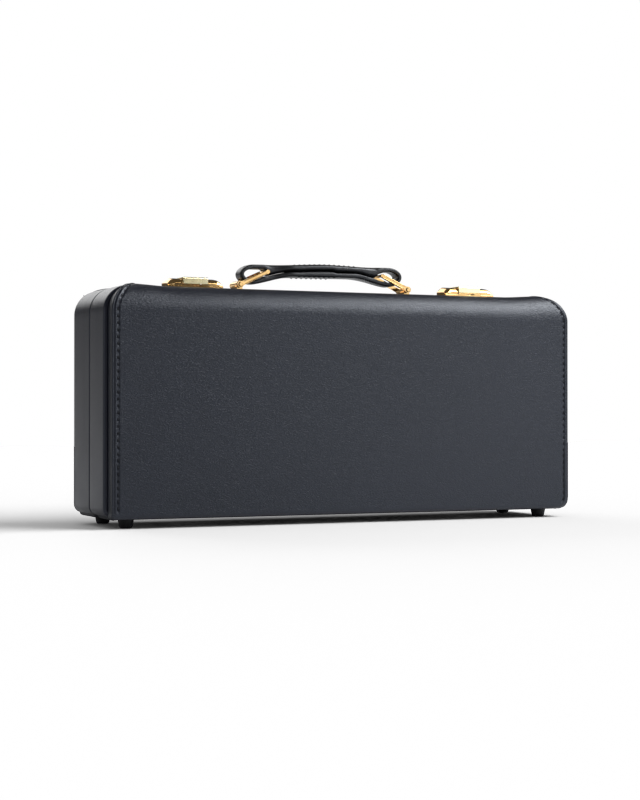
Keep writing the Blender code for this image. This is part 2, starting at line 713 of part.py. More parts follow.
def well_layout():
    """Places of the wells as (x0, x1, centre z, width), packed from the corners of the tray."""
    half_x = COVER_HALF - TRAY_INSET - WELL_MARGIN
    low = PANEL_TOP + GAP + WALL + GAP + FRAME_WALL + GAP + WELL_MARGIN
    high = CASE_TOP - TRAY_INSET - WELL_MARGIN
    length = {name: CASE_LENGTH * share for name, share in WELL_LENGTH_SHARES.items()}
    lower = (-half_x, -half_x + length["lower"], low + LOWER_JOINT_WIDTH / 2, LOWER_JOINT_WIDTH)
    mouthpiece = (half_x - length["mouthpiece"], half_x, low + MOUTHPIECE_WIDTH / 2, MOUTHPIECE_WIDTH)
    upper = (-half_x + WELL_RIB, -half_x + WELL_RIB + length["upper"], high - UPPER_JOINT_WIDTH / 2,
             UPPER_JOINT_WIDTH)
    between = (low + LOWER_JOINT_WIDTH + high - UPPER_JOINT_WIDTH) / 2
    barrel = (-half_x, -half_x + length["barrel"], between, BARREL_WIDTH)
    accessory = (barrel[1] + WELL_RIB, upper[1], between, BARREL_WIDTH)
    bell_z = high - WELL_RIB - BELL_MOUTH / 2
    bell = (half_x - WELL_RIB - length["bell"], half_x - WELL_RIB, bell_z, BELL_MOUTH)
    return {"lower": lower, "upper": upper, "mouthpiece": mouthpiece, "barrel": barrel,
            "accessory": accessory, "bell": bell}


def build_tray():
    """Plush block in the base with a fitted well for each section of the instrument."""
    floor = PANEL_TOP + GAP + WALL + GAP + FRAME_WALL + GAP
    face_reach = BASE.depth - TRAY_RECESS
    rings = [body_ring(BASE, reach, COVER_HALF - TRAY_INSET, TRAY_INSET, floor)
             for reach in reaches(BASE, TRAY_INSET, (), face_reach)]
    tray = add_object("base_tray", loft(rings), "plush")
    face_y = BASE.y_at(face_reach)
    deepest = face_reach - TRAY_INSET - TRAY_FLOOR
    wells = bmesh.new()
    places = well_layout()
    for name in ("lower", "upper", "mouthpiece", "barrel"):
        x0, x1, z, width = places[name]
        u_channel(z, width, JOINT_WELL_DEPTH, face_y, x0, x1, wells)
    x0, x1, z, width = places["accessory"]
    box((x0, face_y - CUT_MARGIN, z - width / 2), (x1, face_y + ACCESSORY_DEPTH, z + width / 2), wells)
    x0, x1, z, width = places["bell"]
    rings = []
    for share, flare in BELL_FLARE_SHARES:
        radius = (BELL_NECK + (width - BELL_NECK) * flare) / 2
        half_circle = [(face_y - CUT_MARGIN, z - radius)]
        half_circle += arc(face_y, z, radius, radius, -math.pi / 2, math.pi / 2, WELL_SIDES)
        half_circle.append((face_y - CUT_MARGIN, z + radius))
        x = x0 + (x1 - x0) * share
        rings.append([(x, min(y, face_y + deepest), height) for y, height in half_circle])
    loft(rings, wells)
    boolean(tray, add_object("cut_wells", wells, None, cutter=True))


def build_lid_lining():
    """Padded plush cup inside the lid, set back to leave room for the frame's edge."""
    floor = PANEL_TOP + GAP + WALL + GAP
    rim = LID.depth - LINING_RECESS
    outer_inset = INNER_INSET + GAP
    inner_inset = outer_inset + LINING_THICKNESS
    outer = [body_ring(LID, reach, COVER_HALF - outer_inset, outer_inset, floor)
             for reach in reaches(LID, outer_inset, (), rim)]
    inner = [body_ring(LID, reach, COVER_HALF - inner_inset, inner_inset, floor + LINING_THICKNESS)
             for reach in reaches(LID, inner_inset, (), rim)]
    add_object("lid_lining", loft(outer + list(reversed(inner))), "plush")


# Latches

def build_strike(label, side):
    """Lid part of a latch: a low housing with sloping ends and a channel for the hasp."""
    centre = side * LATCH_FROM_MIDDLE
    foot = CASE_TOP + GAP
    front = SPLIT_Y - LATCH_FRONT
    back = SPLIT_Y - STRIKE_BACK
    channel = HASP_HALF + HASP_SIDE_GAP
    half = [(STRIKE_HALF, 0), (STRIKE_HALF, STRIKE_FLOOR), (STRIKE_TOP_HALF, STRIKE_SHOULDER),
            (channel, STRIKE_CREST - GAP), (channel, STRIKE_FLOOR)]
    points = [(centre + x, foot + z) for x, z in half] + [(centre - x, foot + z) for x, z in reversed(half)]
    strike = add_object("strike_" + label, rounded_prism(points, "Y", front, back, HASP_BEND / 2), "gold")
    slot = box((centre - SLOT_HALF, front - CUT_MARGIN, foot + STRIKE_FLOOR - SLOT_HEIGHT),
               (centre + SLOT_HALF, front + SLOT_DEPTH, foot + STRIKE_FLOOR + CUT_MARGIN))
    boolean(strike, add_object("cut_slot_" + label, slot, None, cutter=True))
    bores = bmesh.new()
    for place in strike_rivet_places(centre):
        cylinder("Z", place, RIVET_SHANK + SCREW_CLEARANCE, foot - CUT_MARGIN,
                 foot + STRIKE_CREST + CUT_MARGIN, PIN_SIDES, bores)
    boolean(strike, add_object("cut_strike_bores_" + label, bores, None, cutter=True))


def strike_rivet_places(centre):
    row = SPLIT_Y - (LATCH_FRONT + STRIKE_BACK) / 2
    return [(centre - HASP_HALF / 2, row), (centre + HASP_HALF / 2, row)]


def hasp_profile():
    """Side view of the hasp as (y, z): a plate from the knuckle forward, bent down at the front."""
    top = CASE_TOP + HASP_TOP
    under = top - HASP_THICKNESS
    front = SPLIT_Y - LATCH_FRONT
    lip = CASE_TOP + GAP + STRIKE_FLOOR + GAP
    pin_y = SPLIT_Y + LATCH_PIN_SETBACK
    pin_z = CASE_TOP + LATCH_PIN_HEIGHT
    bend = arc(front + HASP_BEND, top - HASP_BEND, HASP_BEND, HASP_BEND, math.pi / 2, math.pi, ROUND_STEPS)
    inside = front + HASP_THICKNESS
    rear = arc(pin_y, pin_z, LATCH_KNUCKLE_RADIUS, LATCH_KNUCKLE_RADIUS, -math.pi, math.pi / 4, EYE_STEPS)
    points = [(pin_y + HASP_BEND, top)] + bend
    points += [(front, lip), (inside, lip), (inside, under)]
    points += [(pin_y - LATCH_KNUCKLE_RADIUS, under)] + rear
    return points


def build_hasp(label, side):
    centre = side * LATCH_FROM_MIDDLE
    axis = (centre, SPLIT_Y + LATCH_PIN_SETBACK, CASE_TOP + LATCH_PIN_HEIGHT)
    shape = prism(hasp_profile(), "X", centre - HASP_HALF, centre + HASP_HALF)
    hasp = add_object("latch_hasp_" + label, shape, "gold", axis)
    bore = cylinder("X", axis[1:], LATCH_PIN_RADIUS + GAP, centre - STRIKE_HALF, centre + STRIKE_HALF)
    boolean(hasp, add_object("cut_hasp_bore_" + label, bore, None, cutter=True))


def latch_rivet_places(centre):
    row = SPLIT_Y + LATCH_PIN_SETBACK
    reach = (HASP_HALF + LATCH_EAR_THICKNESS + LATCH_BASE_HALF) / 2
    return [(centre + sign * reach, row) for sign in (-1, 1)]


def build_latch_base(label, side):
    """Base part of a latch: plate and two ears that carry the hasp's pin, with a leaf spring."""
    centre = side * LATCH_FROM_MIDDLE
    foot = CASE_TOP + GAP
    near = SPLIT_Y + SPLIT_GAP
    far = near + LATCH_BASE_DEPTH
    axis = (SPLIT_Y + LATCH_PIN_SETBACK, CASE_TOP + LATCH_PIN_HEIGHT)
    plate = box((centre - LATCH_BASE_HALF, near, foot),
                (centre + LATCH_BASE_HALF, far, foot + LATCH_PLATE_THICKNESS))
    base = add_object("latch_base_" + label, plate, "gold")
    ears = bmesh.new()
    inner = HASP_HALF + HASP_SIDE_GAP
    for sign in (-1, 1):
        x0, x1 = sorted((centre + sign * inner, centre + sign * (inner + LATCH_EAR_THICKNESS)))
        ear = [(axis[0] - LATCH_EAR_ROUND, foot + LATCH_PLATE_THICKNESS / 2)]
        ear += arc(axis[0], axis[1], LATCH_EAR_ROUND, LATCH_EAR_ROUND, math.pi, 0, EYE_STEPS)
        ear.append((axis[0] + LATCH_EAR_ROUND, foot + LATCH_PLATE_THICKNESS / 2))
        prism(ear, "X", x0, x1, ears)
    boolean(base, add_object("cut_latch_ears_" + label, ears, None, cutter=True), "UNION")
    bores = cylinder("X", axis, LATCH_PIN_RADIUS + GAP, centre - STRIKE_HALF, centre + STRIKE_HALF)
    for place in latch_rivet_places(centre):
        cylinder("Z", place, RIVET_SHANK + SCREW_CLEARANCE, foot - CUT_MARGIN,
                 foot + LATCH_PLATE_THICKNESS + CUT_MARGIN, PIN_SIDES, bores)
    boolean(base, add_object("cut_latch_bores_" + label, bores, None, cutter=True))
    pin_half = inner + LATCH_EAR_THICKNESS + GAP
    pin = cylinder("X", axis, LATCH_PIN_RADIUS, centre - pin_half, centre + pin_half)
    add_object("latch_pin_" + label, pin, "gold")
    low = foot + LATCH_PLATE_THICKNESS + GAP
    crest = CASE_TOP + LATCH_PIN_HEIGHT - LATCH_KNUCKLE_RADIUS - GAP
    start = axis[0] - LATCH_KNUCKLE_RADIUS
    run = far - CUT_MARGIN - start
    spring = [(start + run * along, low + (crest - low - SPRING_THICKNESS) * lift)
              for along, lift in SPRING_SHARES]
    spring += [(y, z + SPRING_THICKNESS) for y, z in reversed(spring)]
    add_object("latch_spring_" + label,
               prism(spring, "X", centre - SPRING_WIDTH / 2, centre + SPRING_WIDTH / 2), "steel")


def add_rivets(name, places, plate_thickness):
    """Round-headed rivets through a plate that lies on top of the case."""
    foot = CASE_TOP + GAP
    seat = foot + plate_thickness + GAP
    for number, place in enumerate(places, 1):
        add_fastener("%s_%d" % (name, number), place, RIVET_HEAD, RIVET_SHANK,
                     (seat + RIVET_HEAD_HEIGHT, seat, foot), "gold")


def build_latches():
    for label, side in SIDES:
        centre = side * LATCH_FROM_MIDDLE
        build_strike(label, side)
        build_hasp(label, side)
        build_latch_base(label, side)
        add_rivets("strike_rivet_" + label, strike_rivet_places(centre), STRIKE_FLOOR)
        add_rivets("latch_rivet_" + label, latch_rivet_places(centre), LATCH_PLATE_THICKNESS)


# Handle

def ring_pivot(side):
    return Vector((side * RING_PIVOT_FROM_MIDDLE, HANDLE_Y, CASE_TOP + RING_PIVOT_HEIGHT))


def ring_bar(side, turn=0):
    """Centre of a ring's far bar after the ring has been raised by the angle turn."""
    angle = RING_REST_ANGLE + turn
    pivot = ring_pivot(side)
    return pivot + Vector((-side * RING_LENGTH * math.cos(angle), 0, RING_LENGTH * math.sin(angle)))


def build_ring(label, side):
    """Square ring: two flat arms with eyes at the pivot, joined by a round bar inside the grip's loop."""
    pivot = ring_pivot(side)
    bar = ring_bar(side)
    along = (bar - pivot).normalized()
    across = Vector((-along.z, 0, along.x))
    half_arm = RING_ARM_WIDTH / 2

    def place(run, lift, y):
        point = pivot + along * run + across * lift
        return (point.x, y, point.z)

    neck_turn = math.pi / 4
    outline = arc(0, 0, RING_EYE_RADIUS, RING_EYE_RADIUS, neck_turn, 2 * math.pi - neck_turn, RING_STEPS)
    outline += arc(RING_LENGTH, 0, half_arm, half_arm, -math.pi / 2, math.pi / 2, TIP_STEPS)
    arms = bmesh.new()
    for sign in (-1, 1):
        y0 = HANDLE_Y + sign * (RING_ARM_SPAN - RING_ARM_THICKNESS) / 2
        y1 = HANDLE_Y + sign * (RING_ARM_SPAN + RING_ARM_THICKNESS) / 2
        loft([[place(run, lift, y) for run, lift in outline] for y in (y0, y1)], arms)
    ring = add_object("handle_ring_" + label, arms, "gold", pivot)
    reach = RING_ARM_SPAN / 2
    section = arc(RING_LENGTH, 0, RING_BAR_RADIUS, RING_BAR_RADIUS, 0, 2 * math.pi, PIN_SIDES)[:-1]
    rod = loft([[place(run, lift, HANDLE_Y + end * reach) for run, lift in section] for end in (-1, 1)])
    boolean(ring, add_object("cut_ring_bar_" + label, rod, None, cutter=True), "UNION")
    bore = cylinder("Y", (pivot.x, pivot.z), RING_PIN_RADIUS + GAP, HANDLE_Y - RING_ARM_SPAN,
                    HANDLE_Y + RING_ARM_SPAN)
    boolean(ring, add_object("cut_ring_bore_" + label, bore, None, cutter=True))


def bracket_rivet_places(side):
    reach = (BRACKET_HALF_LENGTH + BARREL_RADIUS) / 2
    return [(side * RING_PIVOT_FROM_MIDDLE + sign * reach, HANDLE_Y) for sign in (-1, 1)]


def build_bracket(label, side):
    """Handle bracket: a plate rolled up into a barrel for the ring's pin."""
    pivot = ring_pivot(side)
    foot = CASE_TOP + GAP
    low_y, high_y = HANDLE_Y - BRACKET_HALF_WIDTH, HANDLE_Y + BRACKET_HALF_WIDTH
    plate = box((pivot.x - BRACKET_HALF_LENGTH, low_y, foot),
                (pivot.x + BRACKET_HALF_LENGTH, high_y, foot + BRACKET_THICKNESS))
    bracket = add_object("handle_bracket_" + label, plate, "gold")
    barrel_half = (RING_ARM_SPAN - RING_ARM_THICKNESS) / 2 - GAP
    barrel = cylinder("Y", (pivot.x, pivot.z), BARREL_RADIUS, HANDLE_Y - barrel_half,
                      HANDLE_Y + barrel_half, FOOT_SIDES)
    neck_half = BARREL_RADIUS * NECK_SHARE
    neck = box((pivot.x - neck_half, HANDLE_Y - barrel_half + GAP, foot + BRACKET_THICKNESS / 2),
               (pivot.x + neck_half, HANDLE_Y + barrel_half - GAP, pivot.z))
    boolean(bracket, add_object("cut_bracket_neck_" + label, neck, None, cutter=True), "UNION")
    boolean(bracket, add_object("cut_bracket_barrel_" + label, barrel, None, cutter=True), "UNION")
    bores = cylinder("Y", (pivot.x, pivot.z), RING_PIN_RADIUS + GAP, HANDLE_Y - RING_ARM_SPAN,
                     HANDLE_Y + RING_ARM_SPAN)
    for place in bracket_rivet_places(side):
        cylinder("Z", place, RIVET_SHANK + SCREW_CLEARANCE, foot - CUT_MARGIN,
                 foot + BRACKET_THICKNESS + CUT_MARGIN, PIN_SIDES, bores)
    boolean(bracket, add_object("cut_bracket_bores_" + label, bores, None, cutter=True))
    head = (RING_ARM_SPAN + RING_ARM_THICKNESS) / 2 + GAP
    rings = []
    half_pin = [(RING_PIN_RADIUS, head), (RING_PIN_HEAD, head), (RING_PIN_HEAD, head + GAP),
                (RING_PIN_HEAD * HEAD_CROWN_SHARE, head + RING_PIN_HEAD_HEIGHT)]
    for radius, y in [(radius, -y) for radius, y in reversed(half_pin)] + half_pin:
        circle = arc(pivot.x, pivot.z, radius, radius, 0, 2 * math.pi, PIN_SIDES)[:-1]
        rings.append([(x, HANDLE_Y + y, z) for x, z in circle])
    add_object("ring_pin_" + label, loft(rings), "gold")


def ease(share):
    share = min(max(share, 0), 1)
    return share * share * (3 - 2 * share)


def grip_levels(distance):
    """Underside and top of the grip above the case, at a distance from its middle."""
    start = GRIP_LOOP_AT * GRIP_BEND_SHARE
    bend = ease((distance - start) / (GRIP_LOOP_AT - start))
    low = GRIP_UNDERSIDE + (GRIP_LOOP_BOTTOM - GRIP_UNDERSIDE) * bend
    high = GRIP_TOP + (GRIP_END_TOP - GRIP_TOP) * (distance / GRIP_HALF_LENGTH) ** 2
    return low, high


def grip_outline():
    """Side view of the grip as (x, z): long and slightly bowed, with drooping rounded ends."""
    low_end, high_end = grip_levels(GRIP_LOOP_AT)
    centre = (low_end + high_end) / 2
    radius_x = GRIP_HALF_LENGTH - GRIP_LOOP_AT
    radius_z = (high_end - low_end) / 2
    steps = [-GRIP_LOOP_AT + 2 * GRIP_LOOP_AT * k / GRIP_STEPS for k in range(GRIP_STEPS + 1)]
    points = [(x, grip_levels(abs(x))[0]) for x in steps]
    points += arc(GRIP_LOOP_AT, centre, radius_x, radius_z, -math.pi / 2, math.pi / 2, GRIP_END_STEPS)[1:-1]
    points += [(x, grip_levels(abs(x))[1]) for x in reversed(steps)]
    points += arc(-GRIP_LOOP_AT, centre, radius_x, radius_z, math.pi / 2, 3 * math.pi / 2,
                  GRIP_END_STEPS)[1:-1]
    return [(x, CASE_TOP + z) for x, z in points]


def eye_outline(side):
    """Side view of the eye in a loop: pointed at its inner end and round at the outer one."""
    points_low = []
    points_high = []
    for k in range(EYE_STEPS + 1):
        share = k / EYE_STEPS
        x = EYE_INNER + (EYE_OUTER - EYE_INNER) * share
        low, _ = grip_levels(min(x, GRIP_LOOP_AT))
        reach = ring_bar(1).x - EYE_INNER
        rest_z = ring_bar(1).z - CASE_TOP
        loop_z = low + GRIP_STRAP + EYE_HALF
        along = (x - EYE_INNER - reach) / (GRIP_LOOP_AT - EYE_INNER - reach)
        centre = rest_z + (loop_z - rest_z) * ease(along)
        half = EYE_TIP_HALF + (EYE_HALF - EYE_TIP_HALF) * ease(share / EYE_WIDEN_SHARE)
        over = max(share - EYE_ROUND_FROM_SHARE, 0) / (1 - EYE_ROUND_FROM_SHARE)
        taper = math.sqrt(1 - EYE_ROUND_SHARE * over ** 2)
        points_low.append((side * x, CASE_TOP + centre - half * taper))
        points_high.append((side * x, CASE_TOP + centre + half * taper))
    return points_low + list(reversed(points_high))


def build_grip():
    """Leather grip: a padded middle whose ends are folded back into loops for the rings."""
    outline = grip_outline()
    rings = []
    for share, drawn_in in GRIP_LAYER_SHARES:
        ring = []
        for x, z in inset_outline(outline, GRIP_ROUND * drawn_in):
            narrow = ease((abs(x) - GRIP_NARROW_FROM) / GRIP_NARROW_OVER)
            half_width = GRIP_HALF_WIDTH + (GRIP_LOOP_HALF_WIDTH - GRIP_HALF_WIDTH) * narrow
            ring.append((x, HANDLE_Y + share * half_width, z))
        rings.append(ring)
    origin = (0, HANDLE_Y, CASE_TOP + GRIP_UNDERSIDE)
    grip = add_object("handle_grip", loft(rings), "handle_leather", origin)
    eyes = bmesh.new()
    for _, side in SIDES:
        prism(eye_outline(side), "Y", HANDLE_Y - GRIP_HALF_WIDTH - CUT_MARGIN,
              HANDLE_Y + GRIP_HALF_WIDTH + CUT_MARGIN, eyes)
    boolean(grip, add_object("cut_eyes", eyes, None, cutter=True))


def build_handle():
    for label, side in SIDES:
        build_ring(label, side)
        build_bracket(label, side)
        add_rivets("bracket_rivet_" + label, bracket_rivet_places(side), BRACKET_THICKNESS)
    build_grip()


def hang_lid():
    """Let every piece of the lid follow one empty on the hinge axis."""
    axis = bpy.data.objects.new("hinge_axis", None)
    axis.location = LID_AXIS
    bpy.context.scene.collection.objects.link(axis)
    for thing in list(bpy.data.objects):
        if thing.name.startswith(LID_PIECES):
            attach(thing, axis)


def main():
    clear_scene()
    for half in (LID, BASE):
        panel_cutters(half)
        clear = cover_body(half, -CUT_MARGIN, SHELL_INSET + GAP, 2 * GAP, half.depth + CUT_MARGIN)
        add_object("cut_%s_cover" % half.name, clear, None, cutter=True)
        build_cover(half)
        build_shell(half)
        for label, side in SIDES:
            build_band(half, label, side)
        build_panel(half)
        build_feet(half)
    build_hinges()
    build_inner_frame()
    build_tray()
    build_lid_lining()
    build_latches()
    build_handle()
    hang_lid()


main()
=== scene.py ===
import math

import bmesh
import bpy
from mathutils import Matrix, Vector, noise


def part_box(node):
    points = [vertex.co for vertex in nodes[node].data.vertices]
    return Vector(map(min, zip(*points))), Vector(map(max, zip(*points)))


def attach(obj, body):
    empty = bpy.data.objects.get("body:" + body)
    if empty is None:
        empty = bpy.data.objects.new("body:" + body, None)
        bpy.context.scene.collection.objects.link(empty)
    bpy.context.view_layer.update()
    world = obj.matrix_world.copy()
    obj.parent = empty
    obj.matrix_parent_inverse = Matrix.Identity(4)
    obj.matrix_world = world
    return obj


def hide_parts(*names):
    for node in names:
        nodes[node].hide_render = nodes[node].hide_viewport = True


# sizes are in metres, left and right are as the front is seen
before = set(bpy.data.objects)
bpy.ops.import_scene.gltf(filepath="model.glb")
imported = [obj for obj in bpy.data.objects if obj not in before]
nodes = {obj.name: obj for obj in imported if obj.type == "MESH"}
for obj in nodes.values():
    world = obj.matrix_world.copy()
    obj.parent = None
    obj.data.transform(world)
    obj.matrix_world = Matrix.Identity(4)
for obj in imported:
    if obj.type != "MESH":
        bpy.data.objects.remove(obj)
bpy.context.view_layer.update()        # mesh nodes of the imported case, with their placing baked into the meshes
scene = bpy.context.scene
print("frame loaded:", len(nodes), "nodes")

cameraSettings = {"place": (-0.576, -1.256, 0.086), "tilt": 90.44, "turn": -24.39, "lens": 76.8}
camera = bpy.data.objects.new("camera", bpy.data.cameras.new("camera"))
camera.location = cameraSettings["place"]
camera.rotation_euler = (math.radians(cameraSettings["tilt"]), 0, math.radians(cameraSettings["turn"]))
camera.data.lens = cameraSettings["lens"]
camera.data.sensor_width = 36
scene.collection.objects.link(camera)
scene.camera = camera
scene.view_settings.view_transform = "Standard"

stageSettings = {"fill": 0.3, "ceiling": 0.1, "horizon": 0.05, "near": 0.45, "floorTone": 0.8,
                 "floorHalf": 3.0}
lampSettings = (
    {"name": "overheadBox", "place": (1.15, -0.85, 1.35), "aim": (1.15, -0.85, 0), "size": (1.1, 1.8),
     "power": 58, "colour": (0.97, 0.98, 1.0)},
    {"name": "frontBox", "place": (1.15, -1.6, 0.45), "aim": (0.2, 0, 0.1), "size": (1.2, 0.8),
     "power": 4, "colour": (0.9, 0.94, 1.0)},
    {"name": "leftBox", "place": (-1.7, -0.1, 0.25), "aim": (-0.2, 0, 0.05), "size": (1.0, 0.4),
     "power": 1.5, "colour": (0.9, 0.93, 1.0)},
    {"name": "backBox", "place": (-0.3, 1.7, 1.1), "aim": (0, 0, 0.1), "size": (1.4, 1.0),
     "power": 9, "colour": (1.0, 1.0, 1.0)},
)


def addNode(tree, kind, inputs=None, **values):
    node = tree.nodes.new("ShaderNode" + kind)
    for key, value in values.items():
        setattr(node, key, value)
    for key, value in (inputs or {}).items():
        if isinstance(value, bpy.types.NodeSocket):
            tree.links.new(value, node.inputs[key])
        else:
            node.inputs[key].default_value = value
    return node


def combine(tree, operation, first, second, third=None):
    inputs = {0: first, 1: second}
    if third is not None:
        inputs[2] = third
    return addNode(tree, "Math", inputs, operation=operation).outputs[0]


def remap(tree, value, low, high, newLow=0.0, newHigh=1.0):
    return addNode(tree, "MapRange", {"Value": value, "From Min": low, "From Max": high,
                                      "To Min": newLow, "To Max": newHigh}).outputs[0]


def buildWorld():
    # the camera sees white all round, polished surfaces see a dim room over a floor that is white behind
    world = bpy.data.worlds.new("studio")
    scene.world = world
    world.use_nodes = True
    tree = world.node_tree
    tree.nodes.clear()
    path = addNode(tree, "LightPath").outputs
    fill = addNode(tree, "Background", {"Color": (0.95, 0.97, 1, 1), "Strength": stageSettings["fill"]})
    look = addNode(tree, "SeparateXYZ", {0: addNode(tree, "TexCoord").outputs["Generated"]})
    horizon, ceiling = stageSettings["horizon"], stageSettings["ceiling"]
    below = remap(tree, look.outputs["Z"], -horizon, horizon, 1.0 - ceiling, 0.0)
    behind = remap(tree, look.outputs["Y"], -0.3, 0.4, stageSettings["near"], 1.0)
    level = combine(tree, "ADD", combine(tree, "MULTIPLY", below, behind), ceiling)
    level = combine(tree, "MAXIMUM", level, path["Is Camera Ray"])
    white = addNode(tree, "Background", {"Color": (1, 1, 1, 1), "Strength": level})
    seen = combine(tree, "MAXIMUM", path["Is Camera Ray"], path["Is Glossy Ray"])
    seen = combine(tree, "MAXIMUM", seen, path["Is Transmission Ray"])
    mix = addNode(tree, "MixShader", {0: seen, 1: fill.outputs[0], 2: white.outputs[0]})
    addNode(tree, "OutputWorld", {"Surface": mix.outputs[0]})


def buildFloor():
    half = stageSettings["floorHalf"]
    mesh = bpy.data.meshes.new("floor")
    mesh.from_pydata([(-half, -half, 0), (half, -half, 0), (half, half, 0), (-half, half, 0)], [],
                     [(0, 1, 2, 3)])
    floor = bpy.data.objects.new("floor", mesh)
    scene.collection.objects.link(floor)
    material = bpy.data.materials.new("paleFloor")
    material.use_nodes = True
    shader = material.node_tree.nodes["Principled BSDF"]
    tone = stageSettings["floorTone"]
    shader.inputs["Base Color"].default_value = (tone, tone, tone, 1)
    shader.inputs["Roughness"].default_value = 0.8
    mesh.materials.append(material)
    floor.is_shadow_catcher = True


def buildLamps():
    for lamp in lampSettings:
        data = bpy.data.lights.new(lamp["name"], "AREA")
        data.shape = "RECTANGLE"
        data.size, data.size_y = lamp["size"]
        data.energy = lamp["power"]
        data.color = lamp["colour"]
        thing = bpy.data.objects.new(lamp["name"], data)
        thing.location = lamp["place"]
        aim = Vector(lamp["aim"]) - Vector(lamp["place"])
        thing.rotation_euler = aim.to_track_quat("-Z", "Y").to_euler()
        scene.collection.objects.link(thing)


buildWorld()
buildFloor()
buildLamps()
print("camera, world, floor and lamps set")


def newGroup(name, inputs, outputs):
    tree = bpy.data.node_groups.new(name, "ShaderNodeTree")
    for key, value in inputs.items():
        socket = tree.interface.new_socket(name=key, in_out="INPUT", socket_type="NodeSocketFloat")
        socket.default_value = value
    for key, kind in outputs.items():
        tree.interface.new_socket(name=key, in_out="OUTPUT", socket_type="NodeSocket" + kind)
    start = tree.nodes.new("NodeGroupInput")
    end = tree.nodes.new("NodeGroupOutput")
    return tree, start.outputs, end.inputs


def objectPlace(tree):
    return addNode(tree, "TexCoord").outputs["Object"]


def stretched(tree, scale):
    return addNode(tree, "Mapping", {"Vector": objectPlace(tree), "Scale": scale}).outputs[0]


def addNoise(tree, place, scale, detail=2.0, **more):
    inputs = {"Vector": place, "Scale": scale, "Detail": detail}
    inputs.update({key.capitalize(): value for key, value in more.items()})
    return addNode(tree, "TexNoise", inputs).outputs["Fac"]


def grainGroup():
    # soft pebbles, with fine creases between them that run along the length of the case
    tree, given, out = newGroup("leatherGrain", {"Pebble Size": 900.0, "Crease Size": 650.0, "Crease": 0.5,
                                                 "Softness": 0.3}, {"Height": "Float", "Tone": "Float"})
    place = stretched(tree, (0.42, 1, 1))
    warp = addNode(tree, "TexNoise", {"Vector": place, "Scale": 260.0, "Detail": 2.0})
    bent = addNode(tree, "VectorMath", {0: warp.outputs["Color"], 1: (0.0022, 0.0022, 0.0022)},
                   operation="MULTIPLY")
    bent = addNode(tree, "VectorMath", {0: place, 1: bent.outputs[0]}, operation="ADD")
    pebble = addNode(tree, "TexVoronoi", {"Vector": bent.outputs[0], "Scale": given["Pebble Size"]},
                     feature="DISTANCE_TO_EDGE")
    rounded = remap(tree, pebble.outputs["Distance"], 0.0, given["Softness"])
    line = addNoise(tree, place, given["Crease Size"], distortion=0.7)
    ridge = combine(tree, "ABSOLUTE", combine(tree, "SUBTRACT", line, 0.5), 0.0)
    crease = remap(tree, ridge, 0.0, 0.075, 1.0, 0.0)
    height = combine(tree, "MULTIPLY", rounded, combine(tree, "SUBTRACT", 1.0, given["Crease"]))
    height = combine(tree, "SUBTRACT", height, combine(tree, "MULTIPLY", crease, given["Crease"]))
    patch = addNoise(tree, stretched(tree, (12, 12, 12)), 1.0, 4.0)
    tree.links.new(height, out["Height"])
    tree.links.new(patch, out["Tone"])
    return tree


def wearGroup():
    # outer edges that hands and tables rub, broken up by noise
    tree, given, out = newGroup("edgeWear", {"Radius": 0.0008, "Amount": 0.6, "Breakup": 350.0},
                                {"Mask": "Float"})
    rounded = addNode(tree, "Bevel", {"Radius": given["Radius"]}, samples=4)
    plain = addNode(tree, "NewGeometry")
    turn = addNode(tree, "VectorMath", {0: rounded.outputs[0], 1: plain.outputs["Normal"]},
                   operation="DOT_PRODUCT")
    edge = remap(tree, turn.outputs["Value"], 0.99, 0.85)
    broken = remap(tree, addNoise(tree, objectPlace(tree), given["Breakup"], 3.0), 0.4, 0.65)
    mask = combine(tree, "MULTIPLY", edge, broken)
    tree.links.new(combine(tree, "MULTIPLY", mask, given["Amount"]), out["Mask"])
    return tree


def handlingGroup():
    # a slow cloud of smears, and fine specks of dust that settle on upward faces
    tree, given, out = newGroup("handling", {"Cloud Size": 25.0, "Speck Size": 1500.0, "Dust": 0.2},
                                {"Smear": "Float", "Dust": "Float"})
    place = objectPlace(tree)
    cloud = addNoise(tree, place, given["Cloud Size"], 5.0, roughness=0.6)
    speck = remap(tree, addNoise(tree, place, given["Speck Size"], 1.0), 0.66, 0.74)
    normal = addNode(tree, "SeparateXYZ", {0: addNode(tree, "TexCoord").outputs["Normal"]})
    upward = remap(tree, normal.outputs["Z"], 0.2, 1.0, 0.15, 1.0)
    dust = combine(tree, "MULTIPLY", combine(tree, "MULTIPLY", speck, upward), given["Dust"])
    tree.links.new(remap(tree, cloud, 0.3, 0.7), out["Smear"])
    tree.links.new(dust, out["Dust"])
    return tree


def polishGroup():
    # fine polishing lines and smudges on plated metal
    tree, given, out = newGroup("polish", {"Line Size": 900.0, "Depth": 0.5},
                                {"Height": "Float", "Rough": "Float"})
    lines = addNoise(tree, stretched(tree, (0.12, 1, 1)), given["Line Size"])
    smudge = addNoise(tree, stretched(tree, (90, 90, 90)), 1.0, 3.0)
    tree.links.new(combine(tree, "MULTIPLY", lines, given["Depth"]), out["Height"])
    tree.links.new(remap(tree, smudge, 0.35, 0.7), out["Rough"])
    return tree


def pileGroup():
    # short plush pile: tufts, and patches where the nap lies another way; in the plush colour both give a
    # painted sheen
    tree, given, out = newGroup("plushPile", {"Tuft Size": 1400.0, "Nap Size": 30.0},
                                {"Height": "Float", "Nap": "Float"})
    place = objectPlace(tree)
    tuft = addNoise(tree, place, given["Tuft Size"], roughness=0.7)
    nap = addNoise(tree, place, given["Nap Size"], 3.0, distortion=0.8)
    tree.links.new(tuft, out["Height"])
    tree.links.new(remap(tree, nap, 0.35, 0.65), out["Nap"])
    return tree


groups = {"grain": grainGroup(), "wear": wearGroup(), "handling": handlingGroup(), "polish": polishGroup(),
          "pile": pileGroup()}


